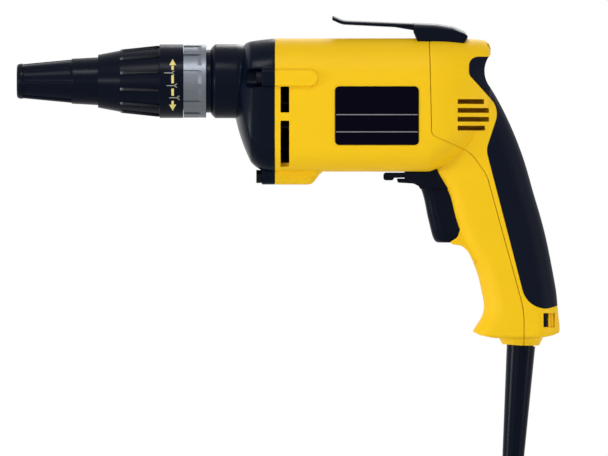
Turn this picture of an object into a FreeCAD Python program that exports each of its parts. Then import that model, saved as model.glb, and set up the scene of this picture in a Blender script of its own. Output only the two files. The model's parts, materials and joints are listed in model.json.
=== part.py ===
"""Corded drywall screwdriver, built as the assembly that comes apart on a bench.

Millimetres.  +Z is up, the nose points along -X, and Y runs across the tool.
The origin is where the spindle axis leaves the back of the rear grip, in the web of the hand.
"""
import FreeCAD, Part
import math
import os

import Sketcher

Vector = FreeCAD.Vector

# Driving dimensions, kept in the document's sheet
SIZES = {
    # Stations along the spindle axis, from the palm forward
    "palm_to_flange": 126.9,
    "gear_case_length": 38.3,
    "neck_gap": 3.0,
    "neck_seat_length": 12.0,
    "ring_length": 13.5,
    "collar_length": 51.3,
    "locator_reach": 48.8,
    # Clearances
    "running_gap": 0.05,
    "sliding_gap": 0.3,
    "seat_gap": 0.02,
    "cut_overrun": 2.0,
    # Nose locator
    "locator_tip_radius": 10.3,
    "locator_tip_round": 2.0,
    "locator_taper_length": 34.0,
    "locator_shoulder_radius": 13.6,
    "locator_root_radius": 14.4,
    "locator_tail_length": 26.0,
    "locator_bore_radius": 8.7,
    "mouth_radius": 6.5,
    "mouth_length": 5.5,
    "flute_count": 6,
    "flute_angle": 46.0,
    "flute_turn": 70.0,
    "flute_depth": 1.0,
    "flute_setback": 3.8,
    "flute_end_gap": 1.2,
    # Depth collar
    "collar_front_radius": 15.9,
    "collar_nose_length": 13.2,
    "collar_nose_radius": 18.4,
    "collar_rib_length": 23.4,
    "collar_rib_radius": 21.5,
    "collar_band_radius": 22.1,
    "collar_thread_length": 13.0,
    "rib_count": 12,
    "rib_rise": 0.55,
    "panel_angle": 25.4,
    # Detent ring and the sleeve behind it
    "ring_radius": 21.9,
    "ring_lip": 1.3,
    "ring_notch_count": 12,
    "ring_notch_angle": 22.0,
    "ring_turn": 24.0,
    "ring_notch_depth": 0.7,
    "ring_notch_ramp": 2.2,
    "ring_rim_length": 2.6,
    "sleeve_wall": 2.4,
    "sleeve_length": 33.0,
    "o_ring_wire_radius": 1.2,
    "o_ring_setback": 6.0,
    # Gear case
    "snout_radius": 22.2,
    "snout_chamfer": 2.4,
    "neck_radius": 18.9,
    "flare_length": 23.4,
    "flare_lean": 7.0,
    "body_half_width": 32.5,
    "body_top": 25.6,
    "body_bottom": 54.2,
    "body_top_corner": 24.0,
    "body_bottom_corner": 15.0,
    "gear_cavity_length": 16.0,
    "gear_cavity_gap": 0.9,
    "clutch_cavity_radius": 18.0,
    "pinion_cavity_radius": 7.0,
    "case_wall": 4.0,
    # Case screws and their bosses
    "side_boss_radius": 5.6,
    "side_boss_inset": 1.3,
    "side_boss_face": 2.3,
    "side_boss_height": 1.6,
    "side_boss_length": 26.4,
    "side_pocket_length": 9.4,
    "boss_front": 8.0,
    "under_boss_drop": 7.8,
    "under_boss_half_width": 19.0,
    "under_boss_corner": 5.0,
    "under_boss_length": 20.0,
    "under_boss_slope": 9.0,
    "under_screw_spread": 13.0,
    "under_screw_rise": 4.8,
    "screw_radius": 2.1,
    "screw_head_radius": 3.9,
    "screw_head_length": 3.2,
    "screw_reach": 17.0,
    "screw_recess_radius": 1.7,
    "screw_recess_depth": 2.0,
    # Spindle, clutch and gears
    "gear_module": 0.8,
    "pinion_teeth": 10,
    "gear_teeth": 50,
    "pressure_angle": 25.0,
    "tooth_backlash": 0.14,
    "gear_width": 9.0,
    "gear_setback": 6.0,
    "gear_hub_radius": 5.0,
    "gear_hub_length": 5.0,
    "jaw_count": 5,
    "jaw_angle": 28.0,
    "jaw_height": 3.0,
    "jaw_inner_radius": 10.5,
    "jaw_outer_radius": 16.0,
    "clutch_gap": 1.0,
    "clutch_flange_radius": 17.0,
    "clutch_flange_length": 4.0,
    "journal_radius": 4.0,
    "journal_length": 15.0,
    "spindle_radius": 6.5,
    "spindle_reach": 74.0,
    "hex_flats": 6.35,
    "hex_gap": 0.15,
    "socket_depth": 25.0,
    "thrust_washer_radius": 15.0,
    "thrust_washer_length": 1.5,
    "spindle_bearing_radius": 10.0,
    "spindle_bearing_length": 20.0,
    "seal_length": 2.5,
    "seal_bore_gap": 0.4,
    "retaining_ring_radius": 0.7,
    "retaining_ring_setback": 8.0,
    "spring_mean_radius": 7.6,
    "spring_wire_radius": 0.55,
    "spring_turns": 3.5,
    "spring_end_gap": 0.8,
    # Bit holder and bit
    "holder_radius": 5.6,
    "holder_length": 36.6,
    "holder_end_gap": 0.3,
    "holder_shank_length": 24.0,
    "bit_socket_depth": 13.0,
    "magnet_radius": 2.6,
    "magnet_length": 3.0,
    "bit_hex_length": 15.5,
    "bit_neck_radius": 2.7,
    "bit_length": 25.0,
    "bit_tip_radius": 1.1,
    "bit_tip_length": 4.6,
    "bit_wing_thickness": 1.5,
    "bit_wing_count": 4,
    # Bearing plate and motor
    "plate_thickness": 5.0,
    "plate_bearing_wall": 3.0,
    "gear_bearing_radius": 8.0,
    "shaft_radius": 4.0,
    "front_bearing_radius": 11.0,
    "front_bearing_length": 7.0,
    "front_bearing_setback": 1.0,
    "rear_bearing_radius": 9.5,
    "rear_bearing_length": 6.0,
    "rear_bearing_wall": 3.0,
    "rear_bridge_gap": 3.4,
    "fan_radius": 26.0,
    "fan_setback": 3.3,
    "fan_length": 9.0,
    "fan_hub_radius": 8.0,
    "fan_web": 1.8,
    "fan_blade_count": 11,
    "fan_blade_thickness": 1.4,
    "stator_radius": 27.0,
    "stator_setback": 22.5,
    "stator_length": 38.0,
    "yoke_thickness": 4.6,
    "coil_rise": 11.5,
    "bridge_thickness": 4.0,
    "brush_holder_gap": 1.2,
    "brush_holder_length": 13.0,
    "pole_width": 21.0,
    "air_gap": 0.5,
    "armature_radius": 15.0,
    "armature_slot_count": 12,
    "armature_slot_width": 2.2,
    "armature_slot_depth": 5.0,
    "winding_radius": 10.2,
    "winding_length": 7.5,
    "coil_wall": 4.6,
    "coil_height": 3.2,
    "coil_end_gap": 1.0,
    "coil_pole_gap": 0.4,
    "commutator_radius": 10.5,
    "commutator_length": 11.0,
    "commutator_bar_count": 12,
    "commutator_slot": 0.7,
    "brush_width": 6.0,
    "brush_thickness": 5.0,
    "brush_length": 11.0,
    "brush_holder_wall": 1.0,
    # Motor housing, handle and grip
    "housing_wall": 3.0,
    "handle_drop": 155.3,
    "heel_reach": 43.8,
    "grip_half_width": 18.0,
    "handle_wall": 4.0,
    "grip_rubber": 2.2,
    "cap_overhang": 2.4,
    "cap_round": 6.0,
    "heel_round": 2.4,
    "web_scoop_radius": 15.4,
    "web_scoop_depth": 1.4,
    "web_scoop_height": 5.9,
    "seam_gap": 0.3,
    "front_vent_setback": 3.4,
    "front_vent_width": 5.2,
    "front_vent_depth": 19.0,
    "rear_vent_height": 2.8,
    "rear_vent_pitch": 5.3,
    "rear_vent_depth": 11.0,
    "baffle_start": 14.0,
    "baffle_wall": 2.0,
    "baffle_height": 5.2,
    "label_length": 50.0,
    "label_height": 35.0,
    "label_thickness": 1.0,
    "label_recess": 0.6,
    "label_corner": 2.6,
    "label_setback": 36.0,
    "label_drop": 20.9,
    "cover_screw_spread": 9.0,
    "cover_screw_height": 18.6,
    "cover_screw_inset": 6.0,
    "cover_screw_grip": 10.0,
    "cover_boss_radius": 4.5,
    # Switch, trigger and lever
    "trigger_half_width": 11.0,
    "trigger_round": 7.0,
    "trigger_travel": 6.5,
    "switch_half_width": 13.0,
    "switch_bar_half_width": 10.0,
    "plunger_radius": 3.0,
    "lever_thickness": 2.9,
    "lever_tip_radius": 3.2,
    "lever_hub_radius": 8.0,
    "lever_pin_radius": 2.0,
    "lever_knob_drop": 1.8,
    "lever_drop": 0.6,
    "hood_half_width": 13.3,
    "capacitor_length": 16.0,
    "capacitor_width": 12.0,
    # Belt hook
    "hook_half_width": 10.0,
    "hook_base_half_width": 18.0,
    "hook_base_length": 31.2,
    "hook_base_setback": 11.7,
    "hook_base_height": 9.3,
    "hook_saddle": 3.0,
    "hook_blade_length": 43.0,
    "hook_blade_rise": 1.6,
    "hook_blade_thickness": 2.5,
    "hook_bend_radius": 14.0,
    "hook_tip_rise": 2.8,
    "hook_tip_length": 6.2,
    "hook_screw_setback": 4.7,
    "hook_boss_radius": 3.6,
    "hook_boss_length": 11.0,
    # Mains cord and plug
    "cord_radius": 3.75,
    "guard_root_radius": 8.6,
    "guard_tip_radius": 6.2,
    "guard_length": 78.0,
    "guard_flange_radius": 10.5,
    "guard_flange_length": 3.0,
    "guard_neck_radius": 7.4,
    "guard_lean": 4.0,
    "guard_exit_across": 20.7,
    "collar_boss_radius": 13.2,
    "collar_boss_tip_radius": 10.8,
    "collar_boss_length": 4.5,
    "clamp_length": 22.0,
    "clamp_thickness": 3.0,
    "clamp_width": 8.0,
    "clamp_height": 26.0,
    "clamp_screw_spread": 8.0,
    "clamp_screw_radius": 1.5,
    "clamp_screw_head_radius": 2.9,
    "clamp_screw_head_length": 2.0,
    "clamp_screw_reach": 12.0,
    "clamp_post_radius": 2.8,
    "lead_in_length": 39.0,
    "coil_pitch": 8.3,
    "coil_mean_radius": 46.0,
    "coil_turns": 8.07,
    "tie_width": 12.0,
    "tie_thickness": 1.6,
    "tie_gap": 0.9,
    "plug_length": 36.0,
    "plug_width": 34.0,
    "plug_depth": 14.0,
    "plug_sleeve_length": 16.0,
    "plug_sleeve_radius": 5.6,
    "plug_sleeve_tip_radius": 4.7,
    "plug_pin_radius": 2.4,
    "plug_pin_length": 19.0,
    "plug_pin_spread": 19.0,
}


class Size:
    """A length, angle or count that knows its number and the sheet expression that gives it."""

    def __init__(self, value, text):
        self.value = value
        self.text = text

    def __add__(self, other):
        other = as_size(other)
        return Size(self.value + other.value, f"({self.text} + {other.text})")

    def __sub__(self, other):
        other = as_size(other)
        return Size(self.value - other.value, f"({self.text} - {other.text})")

    def __mul__(self, other):
        other = as_size(other)
        return Size(self.value * other.value, f"({self.text} * {other.text})")

    def __truediv__(self, other):
        other = as_size(other)
        return Size(self.value / other.value, f"({self.text} / {other.text})")

    def __neg__(self):
        return Size(-self.value, f"(0 - {self.text})")

    __radd__ = __add__
    __rmul__ = __mul__


def as_size(number):
    if isinstance(number, Size):
        return number
    return Size(float(number), repr(float(number)))


class Named:
    """The sheet's sizes by name: size.gear_width, for example."""

    def __getattr__(self, name):
        return Size(float(SIZES[name]), f"sizes.{name}")


size = Named()
ZERO = as_size(0)

doc = FreeCAD.newDocument("drywall_screwdriver")
sheet = doc.addObject("Spreadsheet::Sheet", "sizes")
for row, (alias, number) in enumerate(SIZES.items(), start=1):
    sheet.set(f"A{row}", alias)
    sheet.set(f"B{row}", str(number))
    sheet.setAlias(f"B{row}", alias)
doc.recompute()

nodes = []


def node(label, obj):
    """Name a finished piece, which becomes a file of its own."""
    obj.Label = label
    nodes.append(obj)
    return obj


# Small tools for sketches, features and booleans

def bind(obj, path, amount):
    amount = as_size(amount)
    obj.setExpression(path, amount.text)


def origin_feature(body, role):
    for feature in body.Origin.OriginFeatures:
        if feature.Role == role:
            return feature


def new_body(label):
    body = doc.addObject("PartDesign::Body", label)
    body.Label = label
    return body


def new_sketch(body, role, offset=None, lean=None):
    sketch = body.newObject("Sketcher::SketchObject", body.Name + "_sketch")
    sketch.AttachmentSupport = (origin_feature(body, role), [""])
    sketch.MapMode = "FlatFace"
    if lean is not None:
        sketch.AttachmentOffset = FreeCAD.Placement(Vector(), FreeCAD.Rotation(Vector(1, 0, 0), 1))
        bind(sketch, "AttachmentOffset.Rotation.Angle", lean)
    if offset is not None:
        bind(sketch, "AttachmentOffset.Base.z", offset)
    return sketch


def corner_arc(before, corner, after, radius):
    """Tangent points and centre of the arc that rounds one corner of an outline."""
    back = (before - corner).normalize()
    ahead = (after - corner).normalize()
    half_turn = back.getAngle(ahead) / 2
    reach = radius / math.tan(half_turn)
    middle = (back + ahead).normalize() * (radius / math.sin(half_turn))
    return corner + back * reach, corner + ahead * reach, corner + middle


def outline(sketch, corners):
    """A closed outline through (across, up, radius) corners, its arcs tangent to its straight runs."""
    corners = [(as_size(a), as_size(b), as_size(r)) for a, b, r in corners]
    places = [Vector(a.value, b.value, 0) for a, b, r in corners]
    count = len(corners)
    starts = []
    ends = []
    centres = []
    for index, place in enumerate(places):
        radius = corners[index][2].value
        if radius > 0:
            before = places[index - 1]
            after = places[(index + 1) % count]
            first, last, centre = corner_arc(before, place, after, radius)
        else:
            first, last, centre = place, place, None
        ends.append(first)
        starts.append(last)
        centres.append(centre)
    rules = []
    bound = []
    for index in range(count):
        sketch.addGeometry(Part.LineSegment(starts[index], ends[(index + 1) % count]), False)
    for index, place in enumerate(places):
        across, up, radius = corners[index]
        run_in = (index - 1) % count
        run_out = index
        corner_id = sketch.addGeometry(Part.Point(place), True)
        for kind, amount in (("DistanceX", across), ("DistanceY", up)):
            bound.append((len(rules), amount))
            rules.append(Sketcher.Constraint(kind, -1, 1, corner_id, 1, amount.value))
        if radius.value > 0:
            centre = centres[index]
            turn = (ends[index] - centre).cross(starts[index] - centre).z
            angles = [math.atan2(p.y - centre.y, p.x - centre.x) for p in (ends[index], starts[index])]
            if turn < 0:
                angles.reverse()
            circle = Part.Circle(centre, Vector(0, 0, 1), radius.value)
            arc_id = sketch.addGeometry(Part.ArcOfCircle(circle, angles[0], angles[1]), False)
            arc_in, arc_out = (1, 2) if turn > 0 else (2, 1)
            rules.append(Sketcher.Constraint("PointOnObject", corner_id, 1, run_in))
            rules.append(Sketcher.Constraint("PointOnObject", corner_id, 1, run_out))
            rules.append(Sketcher.Constraint("Tangent", run_in, 2, arc_id, arc_in))
            rules.append(Sketcher.Constraint("Tangent", arc_id, arc_out, run_out, 1))
            bound.append((len(rules), radius))
            rules.append(Sketcher.Constraint("Radius", arc_id, radius.value))
        else:
            rules.append(Sketcher.Constraint("Coincident", run_in, 2, corner_id, 1))
            rules.append(Sketcher.Constraint("Coincident", run_out, 1, corner_id, 1))
    sketch.addConstraint(rules)
    for index, amount in bound:
        bind(sketch, f"Constraints[{index}]", amount)
    return sketch


def circle(sketch, across, up, radius):
    across, up, radius = as_size(across), as_size(up), as_size(radius)
    centre = Vector(across.value, up.value, 0)
    ring = sketch.addGeometry(Part.Circle(centre, Vector(0, 0, 1), radius.value), False)
    rules = [
        Sketcher.Constraint("DistanceX", -1, 1, ring, 3, across.value),
        Sketcher.Constraint("DistanceY", -1, 1, ring, 3, up.value),
        Sketcher.Constraint("Radius", ring, radius.value),
    ]
    first = sketch.ConstraintCount
    sketch.addConstraint(rules)
    for index, amount in enumerate((across, up, radius)):
        bind(sketch, f"Constraints[{first + index}]", amount)
    return sketch


def feature(body, kind, sketch, length=None, angle=None, midplane=False, reverse=False):
    """A pad, pocket, revolution or groove of one sketch."""
    made = body.newObject("PartDesign::" + kind, body.Name + "_" + kind.lower())
    made.Profile = sketch
    if kind in ("Revolution", "Groove"):
        made.ReferenceAxis = (sketch, ["H_Axis"])
        bind(made, "Angle", 360 if angle is None else angle)
    if length is not None:
        bind(made, "Length", length)
    made.Midplane = midplane
    made.Reversed = reverse
    sketch.Visibility = False
    return made


def turned(label, profile):
    """A body turned about the spindle axis from (x, radius, rounding) corners."""
    body = new_body(label)
    feature(body, "Revolution", outline(new_sketch(body, "XZ_Plane"), profile))
    return body


def turn_cut(body, profile, angle, count):
    """A groove over part of a turn, repeated round the spindle axis."""
    sketch = outline(new_sketch(body, "XZ_Plane"), profile)
    groove = feature(body, "Groove", sketch, angle=angle, midplane=True)
    return polar(body, groove, count)


def turn_body(body, angle):
    """Turn a finished body round the spindle axis."""
    body.Placement = FreeCAD.Placement(Vector(), FreeCAD.Rotation(Vector(1, 0, 0), 1))
    bind(body, "Placement.Rotation.Angle", angle)
    return body


def turn_add(body, profile, angle, count):
    """A block over part of a turn, repeated round the spindle axis."""
    sketch = outline(new_sketch(body, "XZ_Plane"), profile)
    block = feature(body, "Revolution", sketch, angle=angle, midplane=True)
    return polar(body, block, count)


def polar(body, original, count):
    pattern = body.newObject("PartDesign::PolarPattern", body.Name + "_pattern")
    pattern.Originals = [original]
    pattern.Axis = (origin_feature(body, "X_Axis"), [""])
    pattern.Angle = 360
    bind(pattern, "Occurrences", count)
    body.Tip = pattern
    return pattern


def slab(label, role, corners, width, offset=None, midplane=True):
    """A body padded from one outline, half to each side of its plane unless told otherwise."""
    body = new_body(label)
    sketch = outline(new_sketch(body, role, offset), corners)
    feature(body, "Pad", sketch, length=width, midplane=midplane)
    return body


def lofted(label, role, sections, ruled=False):
    """A body lofted through (offset, corners) sections, whose planes may lean by a third value."""
    body = new_body(label)
    sketches = []
    for offset, corners, *lean in sections:
        sketches.append(outline(new_sketch(body, role, offset, *lean), corners))
    loft = body.newObject("PartDesign::AdditiveLoft", label + "_loft")
    loft.Profile = sketches[0]
    loft.Sections = sketches[1:]
    loft.Ruled = ruled
    return body


def rectangle(low_a, high_a, low_b, high_b, radius=0):
    return [(low_a, low_b, radius), (high_a, low_b, radius),
            (high_a, high_b, radius), (low_a, high_b, radius)]


def place(obj, x, y, z):
    for key, amount in zip("xyz", (x, y, z)):
        bind(obj, f"Placement.Base.{key}", amount)
    return obj


AXIS_TURNS = {
    "x": FreeCAD.Rotation(Vector(0, 1, 0), 90),
    "y": FreeCAD.Rotation(Vector(1, 0, 0), -90),
    "z": FreeCAD.Rotation(),
}


def rod(label, radius, length, x, y, z, axis="x"):
    """A cylinder that starts at a point and runs along +X, +Y or +Z."""
    made = doc.addObject("Part::Cylinder", label)
    made.Placement = FreeCAD.Placement(Vector(), AXIS_TURNS[axis])
    bind(made, "Radius", radius)
    bind(made, "Height", length)
    return place(made, x, y, z)


def cone(label, first_radius, last_radius, length, x, y, z, axis="x"):
    made = doc.addObject("Part::Cone", label)
    made.Placement = FreeCAD.Placement(Vector(), AXIS_TURNS[axis])
    bind(made, "Radius1", first_radius)
    bind(made, "Radius2", last_radius)
    bind(made, "Height", length)
    return place(made, x, y, z)


def block(label, low, high):
    """A box between two corners."""
    made = doc.addObject("Part::Box", label)
    for name, first, last in zip(("Length", "Width", "Height"), low, high):
        bind(made, name, as_size(last) - as_size(first))
    return place(made, *low)


def join(label, *pieces):
    made = doc.addObject("Part::MultiFuse", label)
    made.Shapes = list(pieces)
    return made


def cut(label, base, *tools):
    made = doc.addObject("Part::Cut", label)
    made.Base = base
    made.Tool = tools[0] if len(tools) == 1 else join(label + "_tools", *tools)
    return made


def common(label, first, second):
    made = doc.addObject("Part::Common", label)
    made.Base = first
    made.Tool = second
    return made


def group(label, *pieces):
    """Identical loose pieces that share a node."""
    made = doc.addObject("Part::Compound", label)
    made.Links = list(pieces)
    return made


def tube(label, inner_radius, outer_radius, x, length, z=ZERO):
    """A plain ring or bush along X."""
    outer = rod(label + "_outer", outer_radius, length, x, ZERO, z)
    inner = rod(label + "_bore", inner_radius, length + 2 * size.cut_overrun, x - size.cut_overrun, ZERO, z)
    return cut(label, outer, inner)


def hexagon(flats):
    """Corners of a hexagon with two flats level, given across its flats."""
    half = flats / 2
    reach = flats * (1 / math.sqrt(3))
    return [(reach, ZERO, 0), (reach / 2, half, 0), (-reach / 2, half, 0),
            (-reach, ZERO, 0), (-reach / 2, -half, 0), (reach / 2, -half, 0)]


def side(across_share, down_share):
    """A point of the side view, as shares of the heel's reach and the handle's drop."""
    return size.heel_reach * across_share, -(size.handle_drop * down_share)


# Stations along the spindle axis
flange_x = -size.palm_to_flange
snout_x = flange_x - size.gear_case_length
ring_back_x = snout_x - size.neck_gap
collar_back_x = ring_back_x - size.ring_length
locator_root_x = collar_back_x - size.collar_length
nose_x = locator_root_x - size.locator_reach
neck_end_x = ring_back_x - size.neck_seat_length
motor_z = -(size.gear_module * (size.pinion_teeth + size.gear_teeth) / 2)


# Nose locator: the cone that stops on the board and sets the screw's depth

def make_nose_locator():
    shoulder_x = nose_x + size.locator_taper_length
    tail_x = locator_root_x + size.locator_tail_length
    step_x = nose_x + size.mouth_length
    body = turned("nose_locator", [
        (nose_x, size.mouth_radius, 0),
        (nose_x, size.locator_tip_radius, size.locator_tip_round),
        (shoulder_x, size.locator_shoulder_radius, 0),
        (locator_root_x, size.locator_root_radius, 0),
        (tail_x, size.locator_root_radius, 0),
        (tail_x, size.locator_bore_radius, 0),
        (step_x, size.locator_bore_radius, 0),
        (step_x, size.mouth_radius, 0),
    ])
    swell = (size.locator_shoulder_radius - size.locator_tip_radius) / size.locator_taper_length
    first_x = nose_x + size.flute_setback
    last_x = shoulder_x - size.flute_end_gap
    first_radius = size.locator_tip_radius + swell * size.flute_setback
    last_radius = size.locator_shoulder_radius - swell * size.flute_end_gap
    turn_cut(body, [
        (first_x, first_radius - size.flute_depth, 0),
        (last_x, last_radius - size.flute_depth, 0),
        (last_x, last_radius + size.cut_overrun, 0),
        (first_x, first_radius + size.cut_overrun, 0),
    ], size.flute_angle, size.flute_count)
    node("nose_locator", turn_body(body, size.flute_turn))


# Depth collar: turned by hand, its thread moves the locator in and out

sleeve_inner_radius = size.locator_root_radius + size.sliding_gap
sleeve_radius = sleeve_inner_radius + size.sleeve_wall


def make_depth_collar():
    rib_x = locator_root_x + size.collar_nose_length
    band_x = rib_x + size.collar_rib_length
    back_x = collar_back_x - size.sliding_gap
    thread_x = locator_root_x + size.collar_thread_length
    body = turned("depth_collar", [
        (locator_root_x, sleeve_inner_radius, 0),
        (locator_root_x, size.collar_front_radius, 0),
        (rib_x, size.collar_nose_radius, 0),
        (rib_x + size.rib_rise, size.collar_nose_radius + size.rib_rise, 0),
        (band_x, size.collar_rib_radius, 0),
        (band_x + size.rib_rise, size.collar_band_radius, 0),
        (back_x, size.collar_band_radius, 0),
        (back_x, sleeve_radius + size.sliding_gap, 0),
        (thread_x, sleeve_radius + size.sliding_gap, 0),
        (thread_x, sleeve_inner_radius, 0),
    ])
    turn_cut(body, [
        (rib_x, size.collar_nose_radius, 0),
        (band_x, size.collar_rib_radius - size.rib_rise, 0),
        (band_x, size.collar_rib_radius + size.cut_overrun, 0),
        (rib_x, size.collar_nose_radius + size.cut_overrun, 0),
    ], size.panel_angle, size.rib_count)
    node("depth_collar", body)


# Detent ring, sleeve and O-ring: the nosepiece that pulls off the neck of the gear case

def make_nosepiece():
    neck_bore = size.neck_radius + size.running_gap
    body = turned("detent_ring", [
        (collar_back_x, sleeve_inner_radius, 0),
        (collar_back_x, size.ring_radius, 0),
        (ring_back_x, size.ring_radius, 0),
        (ring_back_x, neck_bore, 0),
        (collar_back_x + size.ring_lip, neck_bore, 0),
        (collar_back_x + size.ring_lip, sleeve_inner_radius, 0),
    ])
    rim_x = ring_back_x - size.ring_rim_length
    turn_cut(body, [
        (collar_back_x - size.cut_overrun, size.ring_radius - size.ring_notch_depth, 0),
        (rim_x - size.ring_notch_ramp, size.ring_radius - size.ring_notch_depth, 0),
        (rim_x, size.ring_radius, 0),
        (rim_x, size.ring_radius + size.cut_overrun, 0),
        (collar_back_x - size.cut_overrun, size.ring_radius + size.cut_overrun, 0),
    ], size.ring_notch_angle, size.ring_notch_count)
    node("detent_ring", turn_body(body, size.ring_turn))

    sleeve_x = collar_back_x - size.sleeve_length
    node("nosepiece_sleeve", tube("sleeve", sleeve_inner_radius, sleeve_radius, sleeve_x, size.sleeve_length))

    o_ring = doc.addObject("Part::Torus", "o_ring")
    o_ring.Placement = FreeCAD.Placement(Vector(), AXIS_TURNS["x"])
    bind(o_ring, "Radius1", size.neck_radius - size.o_ring_wire_radius)
    bind(o_ring, "Radius2", size.o_ring_wire_radius)
    place(o_ring, ring_back_x - size.o_ring_setback, ZERO, ZERO)
    node("nosepiece_o_ring", o_ring)


# Stations of the clutch, counted forward from the flange
gear_back_x = flange_x - size.gear_setback
gear_front_x = gear_back_x - size.gear_width
gear_jaw_x = gear_front_x - size.jaw_height
spindle_jaw_x = gear_jaw_x - size.clutch_gap
clutch_back_x = spindle_jaw_x - size.jaw_height
clutch_front_x = clutch_back_x - size.clutch_flange_length
washer_front_x = clutch_front_x - size.thrust_washer_length
bearing_back_x = washer_front_x - size.sliding_gap
bearing_front_x = bearing_back_x - size.spindle_bearing_length
seal_front_x = bearing_front_x - size.seal_length
spindle_front_x = clutch_front_x - size.spindle_reach
gear_tip_radius = size.gear_module * size.gear_teeth / 2 + size.gear_module


# Spindle: its rear jaws engage the gear only when the bit is pushed against a screw

def hex_hole(body, flats, front_x, depth):
    """A hexagonal pocket from a front face back into a turned body."""
    sketch = outline(new_sketch(body, "YZ_Plane", front_x), hexagon(flats))
    return feature(body, "Pocket", sketch, length=depth, reverse=True)


def make_spindle():
    journal_x = clutch_back_x + size.journal_length
    groove_x = spindle_front_x + size.retaining_ring_setback
    body = turned("spindle", [
        (journal_x, ZERO, 0),
        (journal_x, size.journal_radius, 0),
        (clutch_back_x, size.journal_radius, 0),
        (clutch_back_x, size.clutch_flange_radius, 0),
        (clutch_front_x, size.clutch_flange_radius, 0),
        (clutch_front_x, size.spindle_radius, 0),
        (groove_x + size.retaining_ring_radius, size.spindle_radius, 0),
        (groove_x + size.retaining_ring_radius, size.spindle_radius - size.retaining_ring_radius, 0),
        (groove_x - size.retaining_ring_radius, size.spindle_radius - size.retaining_ring_radius, 0),
        (groove_x - size.retaining_ring_radius, size.spindle_radius, 0),
        (spindle_front_x, size.spindle_radius, 0),
        (spindle_front_x, ZERO, 0),
    ])
    jaw = rectangle(clutch_back_x - size.clutch_flange_length / 2, spindle_jaw_x,
                    size.jaw_inner_radius, size.jaw_outer_radius)
    turn_add(body, jaw, size.jaw_angle, size.jaw_count)
    hex_hole(body, size.hex_flats + size.hex_gap, spindle_front_x, size.socket_depth)
    node("spindle", body)

    ring_x = groove_x - size.retaining_ring_radius + size.seat_gap
    ring = tube("retaining_ring", size.spindle_radius - size.retaining_ring_radius + size.seat_gap,
                size.spindle_radius + size.retaining_ring_radius / 2, ring_x,
                2 * size.retaining_ring_radius - 2 * size.seat_gap)
    node("bit_retaining_ring", ring)

    node("thrust_washer", tube("washer", size.spindle_radius + size.running_gap, size.thrust_washer_radius,
                               washer_front_x, size.thrust_washer_length))
    node("spindle_bearing", tube("bush", size.spindle_radius + size.running_gap, size.spindle_bearing_radius,
                                 bearing_front_x, size.spindle_bearing_length))
    node("spindle_seal", tube("seal", size.spindle_radius + size.seal_bore_gap, size.spindle_bearing_radius,
                              seal_front_x, size.seal_length))


# Bit holder with its magnet, and the cross-recess bit

holder_back_x = spindle_front_x - size.holder_end_gap
holder_front_x = holder_back_x - size.holder_length
bit_back_x = holder_front_x + size.bit_socket_depth


def make_bit():
    holder = turned("bit_holder", [
        (holder_back_x, ZERO, 0),
        (holder_back_x, size.holder_radius, 0),
        (holder_front_x, size.holder_radius, size.holder_radius / 4),
        (holder_front_x, ZERO, 0),
    ])
    shank = outline(new_sketch(holder, "YZ_Plane", holder_back_x), hexagon(size.hex_flats))
    feature(holder, "Pad", shank, length=size.holder_shank_length)
    hex_hole(holder, size.hex_flats + size.hex_gap, holder_front_x, size.bit_socket_depth)
    seat = circle(new_sketch(holder, "YZ_Plane", holder_front_x), ZERO, ZERO,
                  size.magnet_radius + size.seat_gap)
    feature(holder, "Pocket", seat, length=size.bit_socket_depth + size.magnet_length, reverse=True)
    node("bit_holder", holder)
    node("bit_magnet", rod("magnet", size.magnet_radius, size.magnet_length, bit_back_x, ZERO, ZERO))

    neck_x = bit_back_x - size.bit_hex_length
    tip_x = bit_back_x - size.bit_length
    bit = turned("driver_bit", [
        (bit_back_x, ZERO, 0),
        (bit_back_x, size.bit_neck_radius, 0),
        (tip_x + size.bit_tip_length, size.bit_neck_radius, 0),
        (tip_x, size.bit_tip_radius, 0),
        (tip_x, ZERO, 0),
    ])
    shank = outline(new_sketch(bit, "YZ_Plane", neck_x), hexagon(size.hex_flats))
    feature(bit, "Pad", shank, length=size.bit_hex_length)
    flute = outline(new_sketch(bit, "YZ_Plane", tip_x), rectangle(
        size.bit_wing_thickness / 2, size.bit_neck_radius * 2,
        size.bit_wing_thickness / 2, size.bit_neck_radius * 2))
    polar(bit, feature(bit, "Pocket", flute, length=size.bit_tip_length, reverse=True), size.bit_wing_count)
    node("driver_bit", bit)


# Gears: the pinion is cut on the armature shaft and drives the clutch gear

ADDENDUM_SHARE = 0.8
PINION_ADDENDUM_SHARE = 0.9
DEDENDUM_SHARE = 1.1
FLANK_SHARES = (0.0, 0.3, 0.65, 1.0)


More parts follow.
